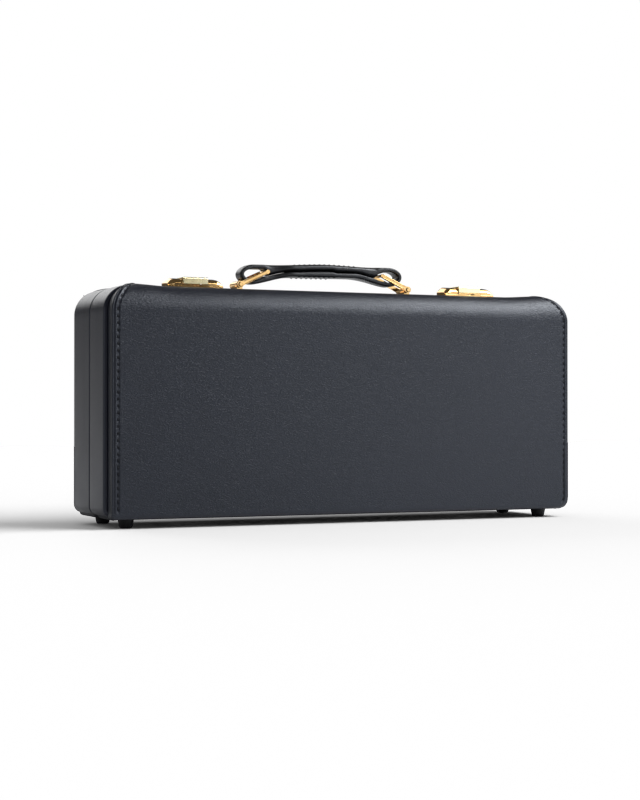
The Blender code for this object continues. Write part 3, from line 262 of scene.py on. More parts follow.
def startMaterial(name, plain):
    material = bpy.data.materials.new(name)
    material.use_nodes = True
    tree = material.node_tree
    shader = tree.nodes["Principled BSDF"]
    for key, value in plain.items():
        shader.inputs[key].default_value = value
    return material, tree, shader


def useGroup(tree, key, inputs=None):
    node = tree.nodes.new("ShaderNodeGroup")
    node.node_tree = groups[key]
    for name, value in (inputs or {}).items():
        node.inputs[name].default_value = value
    return node.outputs


def blendColors(tree, factor, first, second):
    node = tree.nodes.new("ShaderNodeMix")
    node.data_type = "RGBA"
    for index, value in ((0, factor), (6, first), (7, second)):
        if isinstance(value, bpy.types.NodeSocket):
            tree.links.new(value, node.inputs[index])
        else:
            node.inputs[index].default_value = value if index == 0 else (*value, 1)
    return node.outputs[2]


def bump(tree, shader, height, distance):
    node = addNode(tree, "Bump", {"Height": height, "Distance": distance, "Strength": 1.0})
    tree.links.new(node.outputs[0], shader.inputs["Normal"])


def varyRoughness(tree, shader, mask, span):
    tree.links.new(remap(tree, mask, 0.0, 1.0, *span), shader.inputs["Roughness"])


def finishCoat(tree, shader, colour, handling, look):
    # dust over the colour, and a roughness that follows the smears
    colour = blendColors(tree, handling["Dust"], colour, look.get("dustTone", (0.3, 0.3, 0.3)))
    tree.links.new(colour, shader.inputs["Base Color"])
    varyRoughness(tree, shader, handling["Smear"], look["roughness"])


def leather(name, look):
    material, tree, shader = startMaterial(name, {"Specular IOR Level": look["specular"],
                                                  "Specular Tint": look["tint"]})
    grain = useGroup(tree, "grain", {"Pebble Size": look["pebble"], "Crease Size": look["creaseSize"],
                                     "Crease": look["crease"], "Softness": look["softness"]})
    wear = useGroup(tree, "wear", {"Radius": look["wearRadius"], "Amount": look["wear"]})
    handling = useGroup(tree, "handling", {"Dust": look["dust"]})
    colour = blendColors(tree, grain["Tone"], look["dark"], look["light"])
    # painted shade: the grain's valleys and creases are painted darker
    valleyShade = remap(tree, grain["Height"], -0.4, 0.3, 0.7, 0.0)
    colour = blendColors(tree, valleyShade, colour, look["valleyShade"])
    colour = blendColors(tree, wear["Mask"], colour, look["rubbed"])
    finishCoat(tree, shader, colour, handling, {**look, "dustTone": (0.4, 0.4, 0.4)})
    bump(tree, shader, grain["Height"], look["depth"])
    return material


leatherLooks = {
    "coverLeather": {"dark": (0.0055, 0.0065, 0.012), "light": (0.009, 0.0105, 0.019),
                     "valleyShade": (0.003, 0.0035, 0.006), "rubbed": (0.05, 0.052, 0.06), "specular": 0.5,
                     "tint": (0.88, 0.93, 1, 1), "pebble": 850.0, "creaseSize": 620.0, "crease": 0.5,
                     "softness": 0.32, "roughness": (0.31, 0.38), "depth": 0.00011, "wear": 0.35,
                     "wearRadius": 0.0007, "dust": 0.05},
    "bandLeather": {"dark": (0.010, 0.011, 0.018), "light": (0.014, 0.0155, 0.025),
                    "valleyShade": (0.007, 0.0075, 0.012), "rubbed": (0.07, 0.072, 0.08), "specular": 0.36,
                    "tint": (0.88, 0.92, 1, 1), "pebble": 1900.0, "creaseSize": 900.0, "crease": 0.25,
                    "softness": 0.34, "roughness": (0.27, 0.33), "depth": 0.00003, "wear": 0.3,
                    "wearRadius": 0.0007, "dust": 0.05},
    "panelLeather": {"dark": (0.010, 0.011, 0.015), "light": (0.018, 0.019, 0.025),
                     "valleyShade": (0.006, 0.0065, 0.008), "rubbed": (0.08, 0.08, 0.085), "specular": 0.36,
                     "tint": (0.9, 0.94, 1, 1), "pebble": 1300.0, "creaseSize": 800.0, "crease": 0.4,
                     "softness": 0.3, "roughness": (0.45, 0.6), "depth": 0.0001, "wear": 0.7,
                     "wearRadius": 0.0009, "dust": 0.12},
    "handleLeather": {"dark": (0.006, 0.006, 0.007), "light": (0.011, 0.011, 0.012),
                      "valleyShade": (0.003, 0.003, 0.004), "rubbed": (0.05, 0.045, 0.042), "specular": 0.5,
                      "tint": (0.95, 0.97, 1, 1), "pebble": 1700.0, "creaseSize": 700.0, "crease": 0.5,
                      "softness": 0.3, "roughness": (0.24, 0.38), "depth": 0.00006, "wear": 0.4,
                      "wearRadius": 0.0008, "dust": 0.04},
}


def metal(name, look):
    material, tree, shader = startMaterial(name, {"Metallic": 1.0})
    polish = useGroup(tree, "polish", {"Line Size": look["lines"], "Depth": 0.5})
    wear = useGroup(tree, "wear", {"Radius": 0.0004, "Amount": look["wear"], "Breakup": 700.0})
    handling = useGroup(tree, "handling", {"Cloud Size": 60.0, "Dust": 0.0})
    colour = blendColors(tree, handling["Smear"], look["colour"], look["tarnish"])
    colour = blendColors(tree, wear["Mask"], colour, look["worn"])
    tree.links.new(colour, shader.inputs["Base Color"])
    varyRoughness(tree, shader, polish["Rough"], look["roughness"])
    bump(tree, shader, polish["Height"], look["depth"])
    return material


metalLooks = {
    "goldPlate": {"colour": (0.83, 0.55, 0.24), "tarnish": (0.62, 0.36, 0.13), "worn": (0.98, 0.86, 0.6),
                  "roughness": (0.05, 0.11), "lines": 1400.0, "depth": 0.00001, "wear": 0.4},
    "paleGold": {"colour": (1.0, 0.9, 0.58), "tarnish": (0.97, 0.82, 0.45), "worn": (1.0, 0.97, 0.85),
                 "roughness": (0.14, 0.24), "lines": 1400.0, "depth": 0.00001, "wear": 0.4},
    "nickelSteel": {"colour": (0.64, 0.62, 0.58), "tarnish": (0.42, 0.40, 0.37), "worn": (0.8, 0.78, 0.74),
                    "roughness": (0.22, 0.4), "lines": 1100.0, "depth": 0.00002, "wear": 0.5},
}


def plush():
    look = {"shadedNap": (0.006, 0.008, 0.02), "litNap": (0.018, 0.022, 0.048), "roughness": 0.9, "depth": 0.0005,
            "sheen": 0.6, "sheenTint": (0.35, 0.4, 0.6, 1)}
    material, tree, shader = startMaterial("plushBlue", {
        "Specular IOR Level": 0.1, "Roughness": look["roughness"], "Sheen Weight": look["sheen"],
        "Sheen Roughness": 0.4, "Sheen Tint": look["sheenTint"]})
    pile = useGroup(tree, "pile")
    handling = useGroup(tree, "handling", {"Speck Size": 900.0, "Dust": 0.25})
    # painted sheen: nap patches blend from a shaded to a lit pile colour, and tuft tips are painted
    # lighter as if lit
    colour = blendColors(tree, pile["Nap"], look["shadedNap"], look["litNap"])
    colour = blendColors(tree, combine(tree, "MULTIPLY", pile["Height"], 0.6), colour, look["litNap"])
    colour = blendColors(tree, handling["Dust"], colour, (0.2, 0.2, 0.22))
    tree.links.new(colour, shader.inputs["Base Color"])
    bump(tree, shader, pile["Height"], look["depth"])
    return material


def paintedBoard():
    look = {"paint": (0.014, 0.013, 0.013), "brushed": (0.024, 0.022, 0.021),
            "rubbed": (0.12, 0.075, 0.045), "roughness": (0.5, 0.68),
            "depth": 0.0001}
    material, tree, shader = startMaterial("paintedBoard", {"Specular IOR Level": 0.35})
    wear = useGroup(tree, "wear", {"Radius": 0.0009, "Amount": 0.6, "Breakup": 160.0})
    handling = useGroup(tree, "handling", {"Dust": 0.15})
    grainLines = addNoise(tree, stretched(tree, (25, 420, 420)), 1.0, 4.0)
    colour = blendColors(tree, grainLines, look["paint"], look["brushed"])
    colour = blendColors(tree, wear["Mask"], colour, look["rubbed"])
    finishCoat(tree, shader, colour, handling, look)
    bump(tree, shader, grainLines, look["depth"])
    return material


def footRubber():
    look = {"dark": (0.005, 0.005, 0.006), "grey": (0.010, 0.010, 0.011),
            "scuffed": (0.05, 0.049, 0.047), "dustTone": (0.3, 0.29, 0.27), "roughness": (0.5, 0.7),
            "fine": 2500.0, "depth": 0.00006}
    material, tree, shader = startMaterial("footRubber", {"Specular IOR Level": 0.3})
    wear = useGroup(tree, "wear", {"Radius": 0.0006, "Amount": 0.5, "Breakup": 500.0})
    handling = useGroup(tree, "handling", {"Cloud Size": 150.0, "Dust": 0.35})
    colour = blendColors(tree, handling["Smear"], look["dark"], look["grey"])
    colour = blendColors(tree, wear["Mask"], colour, look["scuffed"])
    finishCoat(tree, shader, colour, handling, look)
    bump(tree, shader, addNoise(tree, objectPlace(tree), look["fine"]), look["depth"])
    return material


def waxedThread():
    look = {"dark": (0.004, 0.004, 0.005), "light": (0.012, 0.012, 0.014),
            "roughness": (0.45, 0.65), "slant": (0.6, 0.6, 0.6), "strands": 430.0, "depth": 0.00015}
    material, tree, shader = startMaterial("waxedThread", {"Specular IOR Level": 0.35})
    slant = addNode(tree, "Mapping", {"Vector": objectPlace(tree), "Rotation": look["slant"]})
    twist = addNode(tree, "TexWave", {"Vector": slant.outputs[0], "Scale": look["strands"],
                                      "Distortion": 0.4}, wave_profile="SIN")
    handling = useGroup(tree, "handling", {"Dust": 0.1})
    colour = blendColors(tree, twist.outputs["Fac"], look["dark"], look["light"])
    finishCoat(tree, shader, colour, handling, look)
    bump(tree, shader, twist.outputs["Fac"], look["depth"])
    return material


finishes = {name: leather(name, look) for name, look in leatherLooks.items()}
finishes.update({name: metal(name, look) for name, look in metalLooks.items()})
finishes.update({"plushBlue": plush(), "paintedBoard": paintedBoard(), "footRubber": footRubber(),
                 "waxedThread": waxedThread()})
print("materials ready:", len(finishes))


def makePiece(name, shape, finish, body, replaced=()):
    bmesh.ops.recalc_face_normals(shape, faces=shape.faces)
    mesh = bpy.data.meshes.new(name)
    shape.to_mesh(mesh)
    shape.free()
    mesh.materials.append(finishes[finish])
    mesh.shade_smooth()
    piece = bpy.data.objects.new(name, mesh)
    scene.collection.objects.link(piece)
    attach(piece, body)
    if replaced:
        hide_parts(*replaced)
    return piece


def addGrid(shape, rows, closed=False):
    verts = [[shape.verts.new(point) for point in row] for row in rows]
    for near, far in zip(verts, verts[1:]):
        count = len(near)
        for k in range(count if closed else count - 1):
            after = (k + 1) % count
            shape.faces.new((near[k], near[after], far[after], far[k]))
    return verts


def capEnds(shape, verts):
    shape.faces.new(list(reversed(verts[0])))
    shape.faces.new(verts[-1])


def addThread(shape, points, radius, sides=8):
    # round thread through points, thin where it dives into its holes
    rings = []
    for k, point in enumerate(points):
        along = (points[min(k + 1, len(points) - 1)] - points[max(k - 1, 0)]).normalized()
        across = along.orthogonal().normalized()
        up = along.cross(across)
        size = radius * (0.55 + 0.45 * math.sin(math.pi * k / (len(points) - 1)))
        rings.append([point + (across * math.cos(a) + up * math.sin(a)) * size
                      for a in (2 * math.pi * n / sides for n in range(sides))])
    capEnds(shape, addGrid(shape, rings, closed=True))


def addLathe(shape, centre, profile, sides=32):
    # turned solid about a vertical axis: profile of (radius, height), from top to bottom
    rings = [[Vector((centre[0] + r * math.cos(2 * math.pi * k / sides),
                      centre[1] + r * math.sin(2 * math.pi * k / sides), z)) for k in range(sides)]
             for r, z in profile]
    return addGrid(shape, rings, closed=True)


def addBox(shape, xs, ys, zs):
    verts = [shape.verts.new((x, y, z)) for z in zs for y in ys for x in xs]
    for face in ((0, 1, 3, 2), (4, 6, 7, 5), (0, 4, 5, 1), (2, 3, 7, 6), (0, 2, 6, 4), (1, 5, 7, 3)):
        shape.faces.new([verts[k] for k in face])


def thicken(piece, thickness):
    solid = piece.modifiers.new("thickness", "SOLIDIFY")
    solid.thickness = thickness
    solid.offset = -1


def bevelled(piece, width, segments=2, angle=28):
    edge = piece.modifiers.new("edge", "BEVEL")
    edge.width = width
    edge.segments = segments
    edge.limit_method = "ANGLE"
    edge.angle_limit = math.radians(angle)
    edge.harden_normals = True


def clamp(value, low=0.0, high=1.0):
    return min(max(value, low), high)


def ease(share):
    share = clamp(share)
    return share * share * (3 - 2 * share)


caseForm = {"top": 0.182, "foot": 0.0071, "shoulder": 0.020, "coverCornerX": 0.177,
            "bandCornerX": 0.180, "cornerZ": 0.162, "corner": 0.020, "bandFoot": 0.007, "endHalf": 0.200}
halves = {
    "lid": {"outward": -1, "face": -0.050, "flange": 0.010, "heel": 0.003, "cover": 0.197,
            "feet": (0.0032, 0.0070), "stitch": (0.0048, 0.0042),
            "depth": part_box("lid_cover")[1].y + 0.050, "body": "lid"},
    "base": {"outward": 1, "face": 0.050, "flange": 0.007, "heel": 0.012, "cover": 0.1964,
             "feet": (0.005, 0.005), "stitch": (0.0045, 0.0045),
             "depth": 0.050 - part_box("base_cover")[0].y, "body": "base"},
}
sides = (("left", -1), ("right", 1))


def atReach(half, reach):
    # Y of a point that lies a distance in from the half's outer face
    return half["face"] - half["outward"] * reach


def heelLift(half, reach):
    heel = half["heel"]
    run = clamp(reach, 0, heel)
    return heel - math.sqrt(max(heel ** 2 - (heel - run) ** 2, 0))


# rim: (share of the way from the edge to the stitches, height), a soft roll beside a sunk seam
coverLook = {
    "skin": 0.0024, "edge": 0.0008, "middleColumns": 46, "wave": 0.00012, "waveScale": (14, 22),
    "weld": 0.00002, "pitch": 0.0051,
    "rim": ((0.0, 0.0), (0.19, -0.0001), (0.27, -0.00022), (0.36, -0.0001), (0.46, 0.00022),
            (0.57, 0.00038), (0.70, 0.00030), (0.80, 0.00012), (0.89, 0.0), (1.0, -0.00006),
            (1.11, -0.00002), (1.20, 0.00001), (1.36, 0.00002), (1.60, 0.0)),
    "dashShare": 0.52, "dimple": 0.0007, "dimpleReach": 0.12, "thread": 0.00036,
    "endRise": 0.0015, "riseFrom": 0.145, "riseOver": 0.033, "riseFromZ": 0.165, "riseOverZ": 0.016,
    "sink": 0.0007, "arch": 0.0003, "firstStitchZ": 0.012, "lastGap": 0.004, "rimStart": 0.003,
    "rimOver": 0.003, "heelFade": 0.04, "flatFrom": 0.007, "flatOver": 0.03, "widen": (1.18, 1.3),
}


def coverPath(half):
    # stations along the middle of the cover, from the underside over the face to the seam
    form, stations = caseForm, []
    flange, heel, shoulder = half["flange"], half["heel"], form["shoulder"]
    sign, step = half["outward"], coverLook["pitch"] / 4

    def add(reach, height, ny, nz):
        stations.append({"reach": reach, "z": height, "normal": Vector((0, sign * ny, nz))})

    turn = math.acos(clamp(1 - flange / heel, 0, 1)) if flange < heel else math.pi / 2
    if flange > heel:
        for share in (1, 0.9, 0.7, 0.4):
            add(heel + (flange - heel) * share, form["foot"], 0, -1)
    for k in range(7):
        angle = turn * (1 - k / 6)
        add(heel * (1 - math.cos(angle)), form["foot"] + heel * (1 - math.sin(angle)),
            math.cos(angle), -math.sin(angle))
    low, high = form["foot"] + heel, form["top"] - shoulder
    count = int((high - low) / step)
    for k in range(1, count):
        add(0, low + (high - low) * k / count, 1, 0)
    for k in range(27):
        angle = math.pi / 2 * k / 26
        add(shoulder * (1 - math.cos(angle)), high + shoulder * math.sin(angle),
            math.cos(angle), math.sin(angle))
    edge = coverLook["edge"]
    count = int((half["depth"] - edge - shoulder) / step)
    for k in range(1, count + 1):
        add(shoulder + (half["depth"] - edge - shoulder) * k / count, form["top"], 0, 1)
    for k in range(1, 4):
        angle = math.pi / 2 * k / 3
        add(half["depth"] - edge * (1 - math.sin(angle)), form["top"] - edge * (1 - math.cos(angle)),
            -math.sin(angle), math.cos(angle))
    run = 0
    for k, station in enumerate(stations):
        if k:
            before = stations[k - 1]
            run += math.hypot(station["reach"] - before["reach"], station["z"] - before["z"])
        station["run"] = run
        station["half"] = [coverHalfAt(half, station, foot) for foot in half["feet"]]
        station["rim"] = rimFade(station)
        rise = ease((station["z"] - coverLook["riseFromZ"]) / coverLook["riseOverZ"])
        station["rise"] = coverLook["endRise"] * rise if station["reach"] < half["depth"] else 0
    return stations


def coverHalfAt(half, station, foot):
    form = caseForm
    wide = half["cover"]
    if station["reach"] >= form["shoulder"]:
        return form["coverCornerX"]
    if station["z"] > form["cornerZ"]:
        rise = clamp((station["z"] - form["cornerZ"]) / form["corner"])
        return form["coverCornerX"] + (wide - form["coverCornerX"]) * math.sqrt(1 - rise ** 2)
    footZ = form["foot"] + half["heel"] + foot
    if station["z"] < footZ:
        drop = clamp((footZ - station["z"]) / foot)
        return wide - foot + foot * math.sqrt(1 - drop ** 2)
    return wide


def rimFade(station):
    # the rim rolls up from the face's lower edge, and stays over the shoulder and the top
    start = caseForm["foot"] + coverLook["rimStart"]
    if station["z"] <= start:
        return 0.0
    onFace = station["reach"] < 0.001
    return ease((station["z"] - start) / coverLook["rimOver"]) if onFace else 1.0


def stitchPlaces(path):
    first = next(s["run"] for s in path if s["rim"] > 0.6 and s["z"] > coverLook["firstStitchZ"])
    last = path[-1]["run"] - coverLook["lastGap"]
    count = int((last - first) / coverLook["pitch"])
    return [first + coverLook["pitch"] * (k + 0.5) for k in range(count)]


def pathPoint(path, run, side):
    for near, far in zip(path, path[1:]):
        if run <= far["run"]:
            share = clamp((run - near["run"]) / max(far["run"] - near["run"], 1e-9))
            mixed = {key: near[key] + (far[key] - near[key]) * share for key in ("reach", "z", "rise")}
            mixed["half"] = near["half"][side] + (far["half"][side] - near["half"][side]) * share
            mixed["widen"] = near["widen"][side] + (far["widen"][side] - near["widen"][side]) * share
            mixed["normal"] = near["normal"].lerp(far["normal"], share).normalized()
            return mixed
    return pathPoint(path, path[-1]["run"], side)


def addWidening(path):
    # the rim keeps most of its width where the edge runs aslant round the corners
    last = len(path) - 1
    for station in path:
        station["widen"] = [1.0, 1.0]
    for side, most in enumerate(coverLook["widen"]):
        raw = []
        for k in range(len(path)):
            near, far = path[max(k - 1, 0)], path[min(k + 1, last)]
            slope = (far["half"][side] - near["half"][side]) / max(far["run"] - near["run"], 1e-6)
            raw.append(min(math.sqrt(1 + slope * slope), most) if near["z"] > 0.1 else 1.0)
        for _ in range(4):
            raw = [(raw[max(k - 1, 0)] + raw[k] + raw[min(k + 1, last)]) / 3 for k in range(last + 1)]
        for station, wide in zip(path, raw):
            station["widen"][side] = wide


def endLift(station, x):
    # the layered leather stands higher on the top towards both ends
    look = coverLook
    return station["rise"] * ease((abs(x) - look["riseFrom"]) / look["riseOver"])


def buildCover(name):
    half, look = halves[name], coverLook
    path = coverPath(half)
    addWidening(path)
    stitches = stitchPlaces(path)
    edge = look["edge"]
    dash = look["pitch"] * look["dashShare"] / 2
    shape = bmesh.new()
    rows = []
    for station in path:
        y, z, normal = atReach(half, station["reach"]), station["z"], station["normal"]
        nearest = min((abs(station["run"] - stitch) for stitch in stitches), default=1)
        ends = []
        for side in (0, 1):
            halfWidth, wide = station["half"][side], station["widen"][side]
            stitchAt = half["stitch"][side]
            line = []
            for angle in (0, 30, 60):
                turn = math.radians(angle)
                line.append((halfWidth - edge * (1 - math.cos(turn)), -edge * (1 - math.sin(turn))))
            for share, lift in look["rim"][1:]:
                if abs(share - 1) < look["dimpleReach"] and nearest < dash:
                    lift -= look["dimple"]
                line.append((halfWidth - share * stitchAt * wide, lift))
            ends.append([(x, lift * station["rim"]) for x, lift in line])
        left, right = -ends[0][-1][0], ends[1][-1][0]
        count = look["middleColumns"]
        middle = [(left + (right - left) * k / count, 0.0) for k in range(1, count)]
        across = [(-x, lift) for x, lift in ends[0]] + middle + list(reversed(ends[1]))
        row = []
        for x, lift in across:
            if lift == 0.0:
                edgeAt = station["half"][0 if x < 0 else 1]
                fade = ease((edgeAt - abs(x) - look["flatFrom"]) / look["flatOver"])
                wide, tall = look["waveScale"]
                lift = look["wave"] * fade * noise.noise(Vector((x * wide, y * wide + 3, z * tall)))
            row.append(Vector((x, y, z)) + normal * (lift + endLift(station, x)))
        rows.append(row)
    verts = addGrid(shape, rows)
    buildFlange(shape, half, path, verts)
    bmesh.ops.remove_doubles(shape, verts=shape.verts, dist=look["weld"])
    cover = makePiece(name + "CoverSkin", shape, "coverLeather", half["body"],
                      [name + "_cover"])
    thicken(cover, look["skin"])
    return path


def buildFlange(shape, half, path, verts):
    # walls that run back from the face's edge to the groove, on both ends of the case
    start = caseForm["foot"] + half["heel"]
    flange = half["flange"]
    below = [k for k, s in enumerate(path) if s["z"] <= start + 1e-6 and s["reach"] <= flange + 1e-6]
    first = below[-1]
    reaches = [path[k]["reach"] for k in reversed(below)]
    rows = [k for k in range(first, len(path)) if path[k]["reach"] < flange - 0.0002]
    for side, sign, column in ((1, 1, -1), (0, -1, 0)):
        cornerTop = start + half["feet"][side]
        previous = None
        for k in rows:
            station = path[k]
            line = [verts[k][column]]
            base = station["reach"] + coverLook["edge"] * station["rim"]
            for reach in reaches[1:]:
                if k == first:
                    line.append(verts[below[0] + len(reaches) - 1 - len(line)][column])
                    continue
                at = base + (flange - base) * reach / flange
                above = ease((station["z"] - cornerTop) / coverLook["heelFade"])
                shift = (heelLift(half, 0) - heelLift(half, at)) * (1 - above)
                line.append(shape.verts.new((sign * station["half"][side], atReach(half, at),
                                             station["z"] - shift)))
            if previous:
                for a in range(len(line) - 1):
                    if len({previous[a], previous[a + 1], line[a + 1], line[a]}) == 4:
                        shape.faces.new((previous[a], previous[a + 1], line[a + 1], line[a]))
            previous = line


def buildStitching(name, path):
    # black thread, one short stitch in each dimple of the seam beside the rim
    half, look = halves[name], coverLook
    shape = bmesh.new()
    length = look["pitch"] * look["dashShare"]
    for run in stitchPlaces(path):
        for side, sign in ((0, -1), (1, 1)):
            points = []
            for step in range(7):
                share = step / 6
                at = pathPoint(path, run + (share - 0.5) * length, side)
                x = sign * (at["half"] - half["stitch"][side] * at["widen"])
                sunk = -look["sink"] + look["arch"] * math.sin(math.pi * share)
                place = Vector((x, atReach(half, at["reach"]), at["z"]))
                points.append(place + at["normal"] * (sunk + endLift(at, x)))
            addThread(shape, points, look["thread"])
    makePiece(name + "Stitching", shape, "waxedThread", half["body"])


for halfName in ("lid", "base"):
    buildStitching(halfName, buildCover(halfName))
print("covers and their stitching built")


bandLook = {"groove": 0.0014, "round": 0.0024, "seamRound": 0.0012, "wall": 0.0042, "crown": 0.0002,
            "lift": 0.0011, "lipAngle": -60, "skin": 0.0009, "stationStep": 0.0016, "pathStep": 0.003,
            "wrinkle": 0.0002, "cornerFrom": 0.150, "cornerOver": 0.02, "plainBelow": 0.19,
            "tuck": ((0.0022, 0.0002), (0.0042, 0.0009)), "sideLength": 0.14,
            "angles": (0, 18, 36, 54, 72, 90)}


def topHeight(reach):
    radius = caseForm["shoulder"]
    run = clamp(reach, 0, radius)
    return caseForm["top"] - radius + math.sqrt(radius ** 2 - (radius - run) ** 2)


def bandLine(reach, draw, steps):
    # outer line of the band at a reach, from its lower lip to the crease beside the strip
    form, look = caseForm, bandLook
    foot = form["bandFoot"]
    lipZ = form["foot"] + look["lift"] + foot
    limit = math.asin(clamp((topHeight(reach) - form["cornerZ"]) / form["corner"]))
    points = []
    for k in range(steps["lip"] + 1):
        angle = math.radians(look["lipAngle"]) * (1 - k / steps["lip"])
        points.append((form["endHalf"] - foot + (foot - draw) * math.cos(angle),
                       lipZ + (foot - draw) * math.sin(angle)))
    for k in range(1, steps["side"]):
        points.append((form["endHalf"] - draw, lipZ + (form["cornerZ"] - lipZ) * k / steps["side"]))
    for k in range(steps["corner"] + 1):
        angle = limit * k / steps["corner"]
        radius = form["corner"] - draw
        points.append((form["bandCornerX"] + radius * math.cos(angle),
                       form["cornerZ"] + radius * math.sin(angle)))
    x, z = points[-1]
    return points + [(x - inward, z - drop) for inward, drop in look["tuck"]]


def buildBand(name, label, sign):
    half, look = halves[name], bandLook
    start, end = half["flange"] + look["groove"], half["depth"]
    steps = {"lip": 5, "side": int(look["sideLength"] / look["pathStep"]), "corner": 14}
    wide, tight = look["round"], look["seamRound"]
    angles = [math.radians(a) for a in look["angles"]]
    stations = [(start, look["wall"])]
    stations += [(start + wide * (1 - math.cos(a)), wide * (1 - math.sin(a))) for a in angles]
    low, high = start + wide, end - tight
    count = int((high - low) / look["stationStep"])
    stations += [(low + (high - low) * k / count, 0.0) for k in range(1, count)]
    stations += [(high + tight * math.sin(a), tight * (1 - math.cos(a))) for a in angles]
    stations.append((end, look["wall"]))
    shape = bmesh.new()
    rows = []
    for reach, draw in stations:
        across = clamp((reach - start) / (end - start))
        draw += look["crown"] * (2 * across - 1) ** 2
        row = []
        for x, z in bandLine(reach, draw, steps):
            y = atReach(half, reach)
            # shallow wrinkles, deeper round the top corner, and none on the lips that turn in
            depth = look["wrinkle"] * (0.5 + ease((z - look["cornerFrom"]) / look["cornerOver"]))
            ripple = noise.noise(Vector((y * 60, z * 16, sign * 5))) * depth
            row.append((sign * (x + (min(ripple, 0.0) if x > look["plainBelow"] else 0)), y, z))
        rows.append(row)
    addGrid(shape, rows)
    band = makePiece("%sEndPad_%s" % (name, label), shape, "bandLeather", half["body"],
                     ["%s_band_%s" % (name, label)])
    thicken(band, look["skin"])


for halfName in ("lid", "base"):
    for label, sign in sides:
        buildBand(halfName, label, sign)
print("end bands built")


# grip: a rolled upper strand and a flatter lower strand, pressed together up to the two end loops
gripLook = {"middle": -0.0016, "half": 0.0722, "top": 0.0249, "topDrop": 0.0013, "topOver": 0.042,
            "under": 0.0139, "loopBottom": 0.0072, "bendFrom": 0.026, "bendOver": 0.040, "tilt": 0.012,
            "loopAt": 0.060, "y": 0.011, "lower": 0.0042, "strap": 0.0037, "openFrom": 0.0475,
            "openOver": 0.0035, "leftExtra": 0.0014, "rightExtra": 0.0019, "thinFrom": 0.050,
            "thinOver": 0.009, "halfWidth": 0.0098, "loopHalfWidth": 0.0065, "narrowFrom": 0.026,
            "narrowOver": 0.019, "power": (4.2, 2.7), "endRound": 0.25, "lapStart": 0.45,
            "steps": 84, "endSteps": 18, "sectionSteps": 24,
            "lapFrom": -0.0185, "lapTo": 0.0075, "lap": 0.0011, "gap": 0.0001}
gripStitchLook = {"pitch": 0.0044, "length": 0.0029, "thread": 0.00042, "arch": 0.0008, "rows": (
    {"span": (-0.029, 0.029), "upward": 1, "inset": 0.0022, "sunk": 0.0013},
    {"span": (-0.025, 0.013), "upward": -1, "inset": 0.0016, "sunk": 0.0009})}


def gripLevels(distance):
    look = gripLook
    low = look["under"] + (look["loopBottom"] - look["under"]) * ease((distance - look["bendFrom"])
                                                                      / look["bendOver"])
    high = look["top"] - look["topDrop"] * ease(distance / look["topOver"])
    return low, high


def gripLap(x):
    # a second layer lies on the lower strand's middle and ends in two lapped edges
    look = gripLook
    if not look["lapFrom"] < x < look["lapTo"]:
        return 0.0
    share = (x - look["lapFrom"]) / (look["lapTo"] - look["lapFrom"])
    return look["lap"] * (look["lapStart"] + (1 - look["lapStart"]) * share)


def gripStrands(x):
    # lower and upper strand at a place: (outer height, thickness) each
    look = gripLook
    distance = abs(x - look["middle"])
    low, high = gripLevels(distance)
    apart = ease((distance - look["openFrom"]) / look["openOver"])
    lower = look["lower"] + (look["strap"] - look["lower"]) * apart + gripLap(x)
    if x < 0:
        lower += look["leftExtra"] * (1 - ease((distance - look["thinFrom"]) / look["thinOver"])) * apart
    whole = high - low - lower - look["gap"]
    upper = whole * (1 - apart) + look["strap"] * apart
    if x > 0:
        upper += look["rightExtra"] * (1 - ease((distance - look["thinFrom"]) / look["thinOver"])) * apart
    return (low, lower), (high, upper), apart


def gripLoop():
    look, stations = gripLook, []
    top, steps = caseForm["top"], look["steps"]
    places = [look["middle"] - look["loopAt"] + 2 * look["loopAt"] * k / steps for k in range(steps + 1)]
    for x in places:
        lower, upper, apart = gripStrands(x)
        stations.append({"place": (x, top + lower[0]), "inward": (0, 1), "round": 0.0,
                         "thickness": lower[1]})
    upperStations = []
    for x in reversed(places):
        lower, upper, apart = gripStrands(x)
        upperStations.append({"place": (x, top + upper[0]), "inward": (0, -1),
                              "round": 1 - (1 - look["endRound"]) * apart, "thickness": upper[1]})
    low, high = gripLevels(look["loopAt"])
    centreZ = top + (low + high) / 2
    radiusX, radiusZ = look["half"] - look["loopAt"], (high - low) / 2

    def end(sign, fromAngle):
        made = []
        for k in range(1, look["endSteps"]):
            share = k / look["endSteps"]
            angle = math.radians(fromAngle + 180 * share)
            x = look["middle"] + sign * look["loopAt"] + radiusX * math.cos(angle)
            z = centreZ + radiusZ * math.sin(angle)
            normal = Vector((math.cos(angle) / radiusX, math.sin(angle) / radiusZ)).normalized()
            made.append({"place": (x, z), "inward": (-normal.x, -normal.y), "thickness": look["strap"],
                         "round": look["endRound"] * (share if sign > 0 else 1 - share)})
        return made

    return stations + end(1, -90) + upperStations + end(-1, 90)


def gripSection(halfWidth, thickness, roundness):
    # section of a strand as (across, depth from its outer side) points
    points = []
    square, soft = gripLook["power"]
    power = square + (soft - square) * roundness
    count = gripLook["sectionSteps"]
    for k in range(count):
        angle = 2 * math.pi * (k + 0.5) / count
        across = math.copysign(abs(math.cos(angle)) ** (2 / power), math.cos(angle)) * halfWidth
        depth = math.copysign(abs(math.sin(angle)) ** (2 / power), math.sin(angle)) * thickness / 2
        points.append((across, thickness / 2 - depth))
    return points


def gripHalfWidth(x):
    look = gripLook
    narrow = ease((abs(x - look["middle"]) - look["narrowFrom"]) / look["narrowOver"])
    return look["halfWidth"] + (look["loopHalfWidth"] - look["halfWidth"]) * narrow


